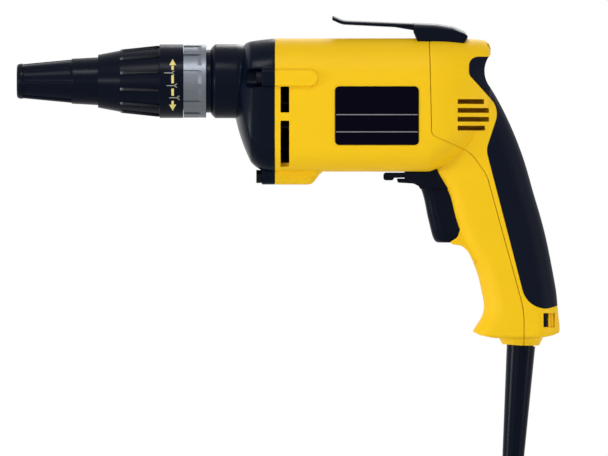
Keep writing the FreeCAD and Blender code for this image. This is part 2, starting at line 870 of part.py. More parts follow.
def gear_solid(teeth, width, addendum_share):
    """An involute spur gear about X, one tooth straight up."""
    pitch_radius = size.gear_module.value * teeth / 2
    pressure = math.radians(size.pressure_angle.value)
    base_radius = pitch_radius * math.cos(pressure)
    tip_radius = pitch_radius + size.gear_module.value * addendum_share
    root_radius = pitch_radius - size.gear_module.value * DEDENDUM_SHARE
    thickness = math.pi * size.gear_module.value / 2 - size.tooth_backlash.value / 2
    start_radius = max(root_radius, base_radius)
    radii = [start_radius + (tip_radius - start_radius) * share for share in FLANK_SHARES]

    def flank_turn(radius):
        slope = math.acos(min(1.0, base_radius / radius))
        return thickness / 2 / pitch_radius + math.tan(pressure) - pressure - math.tan(slope) + slope

    def spot(radius, turn):
        return Vector(0, radius * math.sin(turn), radius * math.cos(turn))

    edges = []
    pitch = 2 * math.pi / teeth
    for tooth in range(teeth):
        middle = tooth * pitch
        rise = [spot(r, middle - flank_turn(r)) for r in radii]
        fall = [spot(r, middle + flank_turn(r)) for r in reversed(radii)]
        foot = spot(root_radius, middle - flank_turn(start_radius))
        heel = spot(root_radius, middle + flank_turn(start_radius))
        next_foot = spot(root_radius, middle + pitch - flank_turn(start_radius))
        for points in (rise, fall):
            curve = Part.BSplineCurve()
            curve.interpolate(points)
            edges.append(curve.toShape())
        edges.append(Part.makeLine(rise[-1], fall[0]))
        if start_radius > root_radius:
            edges.append(Part.makeLine(foot, rise[0]))
            edges.append(Part.makeLine(fall[-1], heel))
        edges.append(Part.makeLine(heel, next_foot))
    wire = Part.Wire(Part.__sortEdges__(edges))
    return Part.Face(wire).extrude(Vector(width, 0, 0))


def toothed(label, teeth, width, addendum_share, x, z, turn):
    made = doc.addObject("Part::Feature", label)
    made.Shape = gear_solid(int(teeth.value), width.value, addendum_share)
    made.Placement = FreeCAD.Placement(Vector(x.value, 0, z.value), FreeCAD.Rotation(Vector(1, 0, 0), turn))
    return made


def make_drive_gear():
    half_pitch = 180 / size.gear_teeth.value
    teeth = toothed("gear_teeth_disc", size.gear_teeth, size.gear_width, ADDENDUM_SHARE,
                    gear_front_x, ZERO, half_pitch)
    hub = rod("gear_hub", size.gear_hub_radius, size.gear_hub_length + size.gear_width / 2,
              gear_front_x + size.gear_width / 2, ZERO, ZERO)
    jaws = new_body("gear_jaws")
    sketch = outline(new_sketch(jaws, "XZ_Plane"), rectangle(
        gear_jaw_x, gear_front_x + size.gear_width / 2, size.jaw_inner_radius, size.jaw_outer_radius))
    polar(jaws, feature(jaws, "Revolution", sketch, angle=size.jaw_angle, midplane=True), size.jaw_count)
    jaws.Placement = FreeCAD.Placement(Vector(), FreeCAD.Rotation(Vector(1, 0, 0), 1))
    bind(jaws, "Placement.Rotation.Angle", as_size(180) / size.jaw_count)
    blank = join("gear_blank", teeth, hub, jaws)
    bore_length = size.gear_width + size.gear_hub_length + size.jaw_height + 2 * size.cut_overrun
    bore = rod("gear_bore", size.journal_radius + size.running_gap, bore_length,
               gear_jaw_x - size.cut_overrun, ZERO, ZERO)
    node("drive_gear", cut("gear_finished", blank, bore))

    spring = new_body("clutch_spring")
    start_x = gear_front_x - size.spring_end_gap
    wire = circle(new_sketch(spring, "XZ_Plane"), start_x, size.spring_mean_radius, size.spring_wire_radius)
    helix = spring.newObject("PartDesign::AdditiveHelix", "spring_helix")
    helix.Profile = wire
    helix.ReferenceAxis = (wire, ["H_Axis"])
    helix.Mode = "height-turns-growth"
    bind(helix, "Height", start_x - clutch_back_x - size.spring_end_gap)
    bind(helix, "Turns", size.spring_turns)
    helix.Reversed = True
    node("clutch_spring", spring)


# Gear case, bearing plate and screws

def body_section(inset=ZERO, width_share=1.0, top_share=1.0, bottom_share=1.0, corner_share=1.0,
                 low_corner_share=1.0):
    """The rounded section that the gear case and the motor housing share, as (y, z, radius) corners."""
    half = size.body_half_width * width_share - inset
    top = size.body_top * top_share - inset
    bottom = -(size.body_bottom * bottom_share) + inset
    top_corner = size.body_top_corner * corner_share - inset
    bottom_corner = size.body_bottom_corner * low_corner_share - inset
    return [(-half, bottom, bottom_corner), (half, bottom, bottom_corner),
            (half, top, top_corner), (-half, top, top_corner)]


def under_boss_section(inset=ZERO):
    half = size.under_boss_half_width - inset
    low = -(size.body_bottom + size.under_boss_drop) + inset
    high = -(size.body_bottom - size.under_boss_drop)
    return rectangle(-half, half, low, high, size.under_boss_corner - inset)


screw_places = []
for sign in (-1, 1):
    screw_places.append((sign * (size.body_half_width - size.side_boss_inset), size.side_boss_height))
    screw_places.append((sign * size.under_screw_spread,
                         -(size.body_bottom + size.under_boss_drop) + size.under_screw_rise))

side_face_y = size.body_half_width + size.side_boss_face


def flat_topped(label, *bosses):
    """Round bosses cut off level, so that each side shows a flat ridge."""
    limit = block(label + "_limit", (nose_x, -side_face_y, -size.body_bottom),
                  (size.heel_reach, side_face_y, size.body_top))
    return common(label, join(label + "_round", *bosses), limit)


# Case behind its crease, then its leaning flare: station, half width, top, bottom, the two corner
# radii and the lean, each as a share
CASE_SHARES = (
    (0.00, 1.000, 1.000, 1.000, 1.00, 1.00, 0.0),
    (0.43, 0.999, 0.955, 0.965, 1.00, 1.03, 0.0),
    (0.62, 0.985, 0.930, 0.893, 0.98, 1.10, 0.0),
)
FLARE_SHARES = (
    CASE_SHARES[-1],
    (0.76, 0.856, 0.908, 0.655, 0.94, 1.25, 0.5),
    (0.89, 0.683, 0.880, 0.414, 0.90, 1.40, 1.0),
)


def case_loft(label, shares):
    sections = []
    for along, width, top, bottom, top_corner, bottom_corner, lean in shares:
        half = size.body_half_width * width
        low = -(size.body_bottom * bottom)
        high = size.body_top * top
        sections.append((flange_x - size.flare_length * along, [
            (-half, low, size.body_bottom_corner * bottom_corner),
            (half, low, size.body_bottom_corner * bottom_corner),
            (half, high, size.body_top_corner * top_corner),
            (-half, high, size.body_top_corner * top_corner),
        ], size.flare_lean * lean))
    return lofted(label, "YZ_Plane", sections)


def make_gear_case():
    flare = join("case_form", case_loft("case_barrel", CASE_SHARES), case_loft("case_flare", FLARE_SHARES))
    neck_bore = size.spindle_radius + size.seal_bore_gap
    groove_x = ring_back_x - size.o_ring_setback
    groove_half = size.o_ring_wire_radius + size.seat_gap
    groove_floor = size.neck_radius - 2 * size.o_ring_wire_radius - size.seat_gap
    snout = turned("case_snout", [
        (gear_back_x, neck_bore, 0),
        (gear_back_x, size.clutch_cavity_radius + size.case_wall / 2, 0),
        (flange_x - size.flare_length, size.snout_radius, 0),
        (snout_x + size.snout_chamfer, size.snout_radius, 0),
        (snout_x, size.snout_radius - size.snout_chamfer, 0),
        (snout_x, size.neck_radius, 0),
        (groove_x + groove_half, size.neck_radius, 0),
        (groove_x + groove_half, groove_floor, 0),
        (groove_x - groove_half, groove_floor, 0),
        (groove_x - groove_half, size.neck_radius, 0),
        (neck_end_x, size.neck_radius, 0),
        (neck_end_x, neck_bore, 0),
    ])
    under = slab("case_under_boss", "YZ_Plane", under_boss_section(), size.boss_front,
                 offset=flange_x - size.boss_front, midplane=False)
    bosses = [rod("case_side_boss", size.side_boss_radius, size.boss_front, flange_x - size.boss_front, y, z)
              for y, z in screw_places[0::2]]
    solid = join("case_solid", flare, snout, under, flat_topped("case_ridges", *bosses))

    recess = slab("case_recess", "YZ_Plane", body_section(size.case_wall),
                  size.plate_thickness + size.cut_overrun,
                  offset=flange_x - size.plate_thickness, midplane=False)
    gear_room = rod("case_gear_room", gear_tip_radius + size.gear_cavity_gap, size.gear_cavity_length,
                    flange_x - size.gear_cavity_length, ZERO, ZERO)
    pinion_room = rod("case_pinion_room", size.pinion_cavity_radius, size.gear_cavity_length,
                      flange_x - size.gear_cavity_length, ZERO, motor_z)
    clutch_room = rod("case_clutch_room", size.clutch_cavity_radius, flange_x - bearing_back_x,
                      bearing_back_x, ZERO, ZERO)
    seat = rod("case_bearing_seat", size.spindle_bearing_radius + size.seat_gap, flange_x - seal_front_x,
               seal_front_x, ZERO, ZERO)
    front_hole = rod("case_front_hole", neck_bore, flange_x - neck_end_x + size.cut_overrun,
                     neck_end_x - size.cut_overrun, ZERO, ZERO)
    reaches = (size.side_pocket_length, size.gear_case_length) * 2
    access = [rod("case_screw_access", size.side_boss_radius, reach, flange_x - size.boss_front - reach, y, z)
              for (y, z), reach in zip(screw_places, reaches)]
    holes = [rod("case_screw_hole", size.screw_radius + size.seat_gap, size.boss_front + 2 * size.cut_overrun,
                 flange_x - size.boss_front - size.cut_overrun, y, z) for y, z in screw_places]
    node("gear_case", cut("case_finished", solid, recess, gear_room, pinion_room, clutch_room, seat,
                          front_hole, *access, *holes))

    screws = []
    for y, z in screw_places:
        seat_x = flange_x - size.boss_front
        shank = rod("case_screw_shank", size.screw_radius, size.boss_front + size.screw_reach, seat_x, y, z)
        head = rod("case_screw_head", size.screw_head_radius, size.screw_head_length,
                   seat_x - size.screw_head_length, y, z)
        drive = rod("case_screw_drive", size.screw_recess_radius, size.screw_recess_depth,
                    seat_x - size.screw_head_length, y, z)
        screws.append(cut("case_screw", join("case_screw_blank", shank, head), drive))
    node("gear_case_screws", group("case_screws", *screws))


def make_bearing_plate():
    blank = slab("plate_blank", "YZ_Plane", body_section(size.case_wall + size.running_gap),
                 size.plate_thickness, offset=flange_x - size.plate_thickness, midplane=False)
    seat_x = flange_x - size.plate_thickness + size.front_bearing_setback
    boss_radius = size.front_bearing_radius + size.plate_bearing_wall
    boss = rod("plate_boss", boss_radius, size.front_bearing_length, seat_x, ZERO, motor_z)
    seat = rod("plate_seat", size.front_bearing_radius + size.seat_gap, size.front_bearing_length * 2,
               seat_x, ZERO, motor_z)
    shaft_hole = rod("plate_shaft_hole", size.pinion_cavity_radius, size.plate_thickness * 2,
                     flange_x - size.plate_thickness * 2, ZERO, motor_z)
    gear_seat = rod("plate_gear_seat", size.gear_bearing_radius + size.seat_gap, size.plate_thickness * 2,
                    flange_x - size.plate_thickness * 1.5, ZERO, ZERO)
    solid = join("plate_solid", blank, boss)
    node("bearing_plate", cut("plate_finished", solid, seat, shaft_hole, gear_seat))
    node("gear_bearing", tube("gear_bearing_ring", size.gear_hub_radius + size.running_gap,
                              size.gear_bearing_radius, flange_x - size.plate_thickness,
                              size.plate_thickness))
    node("front_motor_bearing", tube("front_bearing_ring", size.shaft_radius + size.running_gap,
                                     size.front_bearing_radius, seat_x, size.front_bearing_length, motor_z))


# Motor: stations counted back from the flange
fan_x = flange_x + size.fan_setback
stator_x = flange_x + size.stator_setback
stator_back_x = stator_x + size.stator_length
commutator_x = stator_back_x + size.winding_length + size.coil_end_gap / 2
bridge_x = commutator_x + size.commutator_length + size.rear_bridge_gap
shaft_back_x = bridge_x + size.rear_bearing_length
shaft_bore = size.shaft_radius + size.seat_gap


def at_motor(body):
    """Lower a body turned about X to the motor's own axis."""
    return place(body, ZERO, ZERO, motor_z)


def slots(body, width, floor_radius, top_radius, start_x, length, count):
    """Straight slots along X, cut from the rim of a turned body."""
    sketch = outline(new_sketch(body, "YZ_Plane", start_x),
                     rectangle(-width / 2, width / 2, floor_radius, top_radius))
    return polar(body, feature(body, "Pocket", sketch, length=length, reverse=True), count)


def make_armature():
    pinion_x = gear_front_x - size.clutch_gap / 2
    pinion_length = flange_x - size.plate_thickness - pinion_x
    pinion = toothed("pinion_teeth_disc", size.pinion_teeth, pinion_length, PINION_ADDENDUM_SHARE,
                     pinion_x, motor_z, 0)
    shaft = rod("shaft_rod", size.shaft_radius, shaft_back_x - pinion_x - pinion_length,
                pinion_x + pinion_length, ZERO, motor_z)
    node("armature_shaft", join("shaft_finished", pinion, shaft))

    core = turned("armature_core", rectangle(stator_x, stator_back_x, shaft_bore, size.armature_radius))
    slots(core, size.armature_slot_width, size.armature_radius - size.armature_slot_depth,
          size.armature_radius + size.cut_overrun, stator_x, size.stator_length, size.armature_slot_count)
    node("armature_core", at_motor(core))

    ends = [tube("winding_end", shaft_bore, size.winding_radius, x, size.winding_length, motor_z)
            for x in (stator_x - size.winding_length, stator_back_x)]
    node("armature_windings", group("winding_ends", *ends))

    bars = turned("commutator", rectangle(commutator_x, commutator_x + size.commutator_length,
                                          shaft_bore, size.commutator_radius))
    slots(bars, size.commutator_slot, size.commutator_radius - 2 * size.commutator_slot,
          size.commutator_radius + size.cut_overrun, commutator_x, size.commutator_length,
          size.commutator_bar_count)
    node("commutator", at_motor(bars))

    web_x = fan_x + size.fan_length - size.fan_web
    fan = turned("fan", [
        (fan_x, shaft_bore, 0),
        (fan_x, size.fan_hub_radius, 0),
        (web_x, size.fan_hub_radius, 0),
        (web_x, size.fan_radius, 0),
        (web_x + size.fan_web, size.fan_radius, 0),
        (web_x + size.fan_web, shaft_bore, 0),
    ])
    blade = outline(new_sketch(fan, "YZ_Plane", fan_x), rectangle(
        -size.fan_blade_thickness / 2, size.fan_blade_thickness / 2,
        size.fan_hub_radius - size.fan_web, size.fan_radius))
    polar(fan, feature(fan, "Pad", blade, length=size.fan_length - size.fan_web / 2), size.fan_blade_count)
    node("cooling_fan", at_motor(fan))


def make_stator():
    bore = size.armature_radius + size.air_gap
    ring = tube("stator_ring", bore, size.stator_radius, stator_x, size.stator_length, motor_z)
    window = tube("stator_window", bore - size.air_gap, size.stator_radius - size.yoke_thickness,
                  stator_x - size.cut_overrun, size.stator_length + 2 * size.cut_overrun, motor_z)
    poles = block("stator_poles",
                  (stator_x - 2 * size.cut_overrun, -size.pole_width / 2, motor_z - size.stator_radius),
                  (stator_back_x + 2 * size.cut_overrun, size.pole_width / 2, motor_z + size.stator_radius))
    node("stator_core", cut("stator_finished", ring, cut("stator_windows", window, poles)))

    inner_half = size.pole_width / 2 + size.coil_pole_gap
    outer_half = inner_half + size.coil_wall
    coils = []
    for sign in (-1, 1):
        middle = motor_z + sign * (size.coil_rise + size.coil_height / 2)
        frame = slab("coil_frame", "XY_Plane", rectangle(
            stator_x - size.coil_end_gap - size.coil_wall, stator_back_x + size.coil_end_gap + size.coil_wall,
            -outer_half, outer_half, size.coil_wall), size.coil_height, offset=middle)
        hole = slab("coil_hole", "XY_Plane", rectangle(
            stator_x - size.coil_end_gap, stator_back_x + size.coil_end_gap, -inner_half, inner_half),
            size.coil_height * 2, offset=middle)
        coils.append(cut("field_coil", frame, hole))
    node("field_coils", group("coils", *coils))


def make_brushes():
    middle_x = commutator_x + size.commutator_length / 2
    half_x = size.brush_width / 2
    half_z = size.brush_thickness / 2
    wall = size.brush_holder_wall
    near = size.commutator_radius + size.brush_holder_gap
    far = near + size.brush_holder_length
    touch = size.commutator_radius + size.sliding_gap
    holders = []
    brushes = []
    for sign in (-1, 1):
        def across(low, high):
            return (-high, -low) if sign < 0 else (low, high)
        low_y, high_y = across(near, far)
        shell = block("holder_shell", (middle_x - half_x - wall, low_y, motor_z - half_z - wall),
                      (bridge_x, high_y, motor_z + half_z + wall))
        slot_y = across(near - size.cut_overrun, far - wall)
        slot = block("holder_slot", (middle_x - half_x, slot_y[0], motor_z - half_z),
                     (middle_x + half_x, slot_y[1], motor_z + half_z))
        holders.append(cut("brush_holder", shell, slot))
        brush_y = across(touch, touch + size.brush_length)
        gap = size.seat_gap
        brushes.append(block("brush", (middle_x - half_x + gap, brush_y[0], motor_z - half_z + gap),
                             (middle_x + half_x - gap, brush_y[1], motor_z + half_z - gap)))
    node("brush_holders", group("holders", *holders))
    node("carbon_brushes", group("brushes", *brushes))
    node("rear_motor_bearing", tube("rear_bearing_ring", size.shaft_radius + size.running_gap,
                                    size.rear_bearing_radius, bridge_x, size.rear_bearing_length, motor_z))


# Housing: one outer form, hollowed and split into motor housing, handle cover and rubber grip

# Where the two yellow shells part behind the motor
PART_SHARE = -0.785
part_x = size.heel_reach * PART_SHARE

# Rear of the barrel: station, half width, top, bottom, top corner and bottom corner, as shares
CAP_SHARES = (
    (0.00, 1.00, 1.000, 1.00, 1.00, 1.00),
    (0.55, 0.90, 0.995, 0.80, 0.94, 1.30),
    (1.00, 0.63, 0.955, 0.50, 0.76, 1.15),
)

# Level sections of the handle: down, front, back, half width, front corner and back corner, as shares
HANDLE_SHARES = (
    (0.026, -0.747, 0.055, 1.20, 0.45, 0.70),
    (0.119, -0.747, 0.240, 1.22, 0.45, 0.70),
    (0.227, -0.733, 0.411, 1.17, 0.45, 0.75),
    (0.351, -0.671, 0.562, 1.07, 0.45, 0.80),
    (0.459, -0.486, 0.671, 1.00, 0.46, 0.85),
    (0.560, -0.397, 0.774, 0.97, 0.52, 0.85),
    (0.652, -0.260, 0.849, 0.96, 0.62, 0.85),
    (0.753, -0.116, 0.918, 0.96, 0.72, 0.85),
    (0.845, -0.044, 0.966, 0.98, 0.76, 0.84),
    (0.907, -0.064, 0.986, 1.00, 0.76, 0.82),
    (0.961, -0.178, 1.000, 1.03, 0.72, 0.80),
    (0.992, -0.164, 0.966, 1.00, 0.70, 0.78),
)

# Side-view lines: across and down shares, and a corner rounding as a share of the grip's half width
PART_LINE_SHARES = (
    (-0.795, -0.250, 0.0), (-0.760, 0.208, 0.22), (-0.226, 0.276, 0.9), (-0.003, 0.362, 1.1),
    (0.506, 0.884, 3.0), (0.506, 1.200, 0.0),
)
GRIP_LINE_SHARES = (
    (-0.240, -0.093, 0.30), (-0.247, -0.024, 0.30), (0.178, 0.107, 0.72), (-0.007, 0.266, 0.60),
    (0.466, 0.780, 0.9), (0.540, 0.862, 0.8), (0.810, 0.880, 0.6), (1.050, 0.860, 0.0),
)
BEHIND_SHARE = 1.4
# What is trimmed off the heel in front and behind, so that its floor is curved
HEEL_TRIM_SHARES = (
    ((-0.226, 0.966), (-0.171, 0.970), (-0.089, 0.981), (0.048, 0.989), (0.185, 0.995), (0.185, 1.03),
     (-0.226, 1.03)),
    ((1.020, 0.967), (0.979, 0.973), (0.897, 0.982), (0.774, 0.989), (0.623, 0.995), (0.623, 1.03),
     (1.020, 1.03)),
)


def side_line(shares, shift=ZERO):
    points = []
    for across, down, corner in shares:
        x, z = side(across, down)
        points.append((x + shift, z, size.grip_half_width * corner))
    return points


def behind_line(shares, label, shift=ZERO):
    """Everything behind a side-view line, right across the tool."""
    points = side_line(shares, shift)
    far_x = size.heel_reach * BEHIND_SHARE
    points.append((far_x, points[-1][1], 0))
    points.append((far_x, points[0][1], 0))
    return slab(label, "XZ_Plane", points, 4 * size.body_half_width)


def edges_at(obj, test):
    return [f"Edge{i}" for i, edge in enumerate(obj.Shape.Edges, start=1) if test(edge)]


def rounded(body, radius, test):
    """Round the edges of a body's latest feature that pass a test."""
    doc.recompute()
    base = body.Tip
    fillet = body.newObject("PartDesign::Fillet", body.Name + "_fillet")
    fillet.Base = (base, edges_at(base, test))
    bind(fillet, "Radius", radius)
    return fillet


def housing_form(label, barrel_inset, handle_inset, front_x):
    """Barrel and handle as one solid, drawn in all round by two insets."""
    cap_x = size.cap_overhang - barrel_inset
    barrel = new_body(label + "_barrel")
    feature(barrel, "Pad", outline(new_sketch(barrel, "YZ_Plane", front_x), body_section(barrel_inset)),
            length=part_x - front_x)
    sections = []
    for along, width, top, bottom, corner, low_corner in CAP_SHARES:
        corners = body_section(barrel_inset, width, top, bottom, corner, low_corner)
        sections.append(outline(new_sketch(barrel, "YZ_Plane", part_x + (cap_x - part_x) * along), corners))
    loft = barrel.newObject("PartDesign::AdditiveLoft", label + "_cap")
    loft.Profile = sections[0]
    loft.Sections = sections[1:]
    near = size.seat_gap.value
    rounded(barrel, size.cap_round - barrel_inset, lambda edge: edge.BoundBox.XMin > cap_x.value - near)

    levels = []
    for down, front, back, width, front_corner, back_corner in HANDLE_SHARES:
        half = size.grip_half_width * width
        low_x, z = side(front, down)
        high_x = size.heel_reach * back
        front_round = half * front_corner - handle_inset
        back_round = half * back_corner - handle_inset
        if down == HANDLE_SHARES[-1][0]:
            z = z + handle_inset
        levels.append((z, [
            (low_x + handle_inset, -half + handle_inset, front_round),
            (high_x - handle_inset, -half + handle_inset, back_round),
            (high_x - handle_inset, half - handle_inset, back_round),
            (low_x + handle_inset, half - handle_inset, front_round),
        ]))
    handle = lofted(label + "_handle", "XY_Plane", levels)
    if handle_inset.value == 0:
        floor_z = levels[-1][0].value
        rounded(handle, size.heel_round, lambda edge: edge.BoundBox.ZMax < floor_z + near)
    scoop = rod(label + "_scoop", size.web_scoop_radius + barrel_inset, 4 * size.body_half_width,
                size.web_scoop_radius - size.web_scoop_depth, -2 * size.body_half_width,
                size.web_scoop_height, axis="y")
    trims = []
    if handle_inset.value == 0:
        trims = [side_slab(label + "_heel_trim", shares, size.body_half_width) for shares in HEEL_TRIM_SHARES]
    return cut(label, join(label + "_whole", barrel, handle), scoop, *trims)


# Openings and small forms of the housing, as shares of the lengths they follow
FRONT_VENT_SHARES = ((0.064, 0.350), (0.441, 0.948))
REAR_VENT_ENDS_SHARES = (-0.041, 0.026, 0.026, -0.027)
REAR_VENT_FRONT_SHARE = -0.401
REAR_VENT_TOP_SHARE = 0.0709
# Lip under the trigger: across, down and rounding
LIP_SHARES = ((-0.363, 0.571, 0.0), (-0.397, 0.603, 0.25), (-0.505, 0.622, 0.02), (-0.459, 0.631, 0.1),
              (-0.345, 0.635, 0.2), (-0.267, 0.653, 0.3), (-0.158, 0.699, 0.0), (-0.089, 0.614, 0.0))
LIP_WIDTH_SHARE = 0.72
# End of the boss under the barrel: along and up
BOSS_SLOPE_SHARES = ((0.0, 0.0), (0.25, 0.06), (0.45, 0.24), (0.75, 0.60), (1.0, 0.78), (1.4, 1.0))
TRIGGER_OPENING_SHARES = ((-0.85, 0.351), (-0.85, 0.626), (-0.062, 0.626), (-0.062, 0.351))
HEEL_WINDOW_SHARES = ((0.774, 0.896), (0.774, 0.950), (0.930, 0.950), (0.930, 0.896))
AIR_HOLE_SHARES = (0.52, 0.5)
WEB_SHARES = (-0.73, 0.57)


def side_slab(label, shares, half_width):
    """A block right across the tool from a side-view outline in shares."""
    return slab(label, "XZ_Plane", [(*side(across, down), 0) for across, down in shares], 2 * half_width)


def ball(label, radius, x, y, z):
    made = doc.addObject("Part::Sphere", label)
    bind(made, "Radius", radius)
    return place(made, x, y, z)


guard_exit_z = -(size.handle_drop * HANDLE_SHARES[-1][0]) - size.collar_boss_length


def leaned(obj):
    """Stand a piece turned about X at the cord's exit, its +X end leaning down and forward."""
    obj.Placement = FreeCAD.Placement(Vector(), FreeCAD.Rotation(Vector(0, 1, 0), 1))
    bind(obj, "Placement.Rotation.Angle", size.guard_lean + 90)
    return place(obj, size.guard_exit_across, ZERO, guard_exit_z)


cover_screw_spots = [(sign * size.cover_screw_spread, size.cover_screw_height) for sign in (-1, 1)]
cover_seat_x = size.cap_overhang - size.cover_screw_inset - size.screw_head_length
hook_front_x = -(size.hook_base_setback + size.hook_base_length)
hook_screw_x = hook_front_x + size.hook_screw_setback
floor_depth = size.collar_boss_length + size.handle_wall
clamp_z = guard_exit_z + size.clamp_height
clamp_x = (size.guard_exit_across + size.clamp_height * math.tan(math.radians(size.guard_lean.value))
           + size.cord_radius + 2 * size.sliding_gap)
clamp_spots = [(sign * size.clamp_screw_spread, clamp_z) for sign in (-1, 1)]


def make_labels():
    labels = []
    front_x = flange_x + size.label_setback
    for sign in (-1, 1):
        offset = sign * (size.body_half_width - size.label_recess + size.label_thickness / 2)
        corners = rectangle(front_x, front_x + size.label_length, -size.label_drop - size.label_height / 2,
                            -size.label_drop + size.label_height / 2, size.label_corner)
        labels.append(slab("label_plate", "XZ_Plane", corners, size.label_thickness, offset=offset))
    node("side_labels", group("labels", *labels))
    return labels


def make_bosses():
    """Raised forms on the outside of the housing."""
    made = []
    slope_rise = size.under_boss_drop + size.under_boss_corner / 2
    slope_x = flange_x + size.under_boss_length
    sections = [(flange_x, under_boss_section())]
    for along, up in BOSS_SLOPE_SHARES:
        raised = [(y, z + slope_rise * up, r) for y, z, r in under_boss_section()]
        sections.append((slope_x + size.under_boss_slope * along, raised))
    made.append(lofted("housing_under_boss", "YZ_Plane", sections, ruled=True))
    made.append(cone("cord_collar", size.collar_boss_tip_radius, size.collar_boss_radius,
                     size.collar_boss_length, size.guard_exit_across, ZERO, guard_exit_z, axis="z"))
    made.append(slab("trigger_lip", "XZ_Plane", side_line(LIP_SHARES),
                     2 * (size.grip_half_width * LIP_WIDTH_SHARE)))
    return made


def make_ridges():
    """Screw bosses that run along both sides behind the gear case."""
    made = []
    straight = size.side_boss_length - size.side_boss_radius
    for y, z in screw_places[0::2]:
        made.append(rod("housing_side_boss", size.side_boss_radius, straight, flange_x, y, z))
        made.append(ball("housing_boss_end", size.side_boss_radius, flange_x + straight, y, z))
    return flat_topped("housing_ridges", *made)


def make_baffles(outer):
    """Ribs inside the vents, which keep light from showing right through the shell."""
    made = []
    vent_x = flange_x + size.front_vent_setback
    for sign in (-1, 1):
        spots = sorted((sign * size.baffle_start, sign * size.body_half_width), key=lambda spot: spot.value)
        made.append(block("vent_baffle", (vent_x - size.baffle_wall, spots[0], -size.body_bottom),
                          (vent_x + size.front_vent_width + size.baffle_wall, spots[1],
                           size.baffle_height - size.body_bottom)))
    front_share, low_share = WEB_SHARES
    made.append(block("cover_web", (size.heel_reach * front_share, -size.baffle_wall / 2,
                                    -(size.body_bottom * low_share)),
                      (size.heel_reach, size.baffle_wall / 2, size.body_top)))
    return common("baffles", join("baffle_set", *made), outer)


def make_bridge(outer):
    """The rear bearing bridge, the cover's screw bosses and the hook's boss, inside the shell."""
    plate = slab("bridge_plate", "YZ_Plane", body_section(size.housing_wall / 2), size.bridge_thickness,
                 offset=bridge_x, midplane=False)
    ring = rod("bridge_ring", size.rear_bearing_radius + size.rear_bearing_wall, size.rear_bearing_length,
               bridge_x, ZERO, motor_z)
    seat = rod("bridge_seat", size.rear_bearing_radius + size.seat_gap, size.rear_bearing_length * 2,
               bridge_x - size.cut_overrun, ZERO, motor_z)
    air = []
    across_share, hole_share = AIR_HOLE_SHARES
    for sign in (-1, 1):
        for rise in (-1, 1):
            air.append(rod("bridge_air_hole", size.rear_bearing_radius * hole_share,
                           size.bridge_thickness + 2 * size.cut_overrun, bridge_x - size.cut_overrun,
                           sign * size.body_half_width * across_share,
                           motor_z + rise * size.stator_radius * hole_share))
    bridge = cut("bridge", join("bridge_solid", plate, ring), seat, *air)
    posts = [rod("cover_post", size.cover_boss_radius, size.cap_overhang - bridge_x, bridge_x, y, z)
             for y, z in cover_screw_spots]
    kept = common("cover_posts", join("cover_post_pair", *posts), outer)
    hook_boss = rod("hook_boss", size.hook_boss_radius, size.hook_boss_length - size.seat_gap,
                    hook_screw_x, ZERO, size.body_top - size.hook_boss_length, axis="z")
    return [bridge, kept, hook_boss]


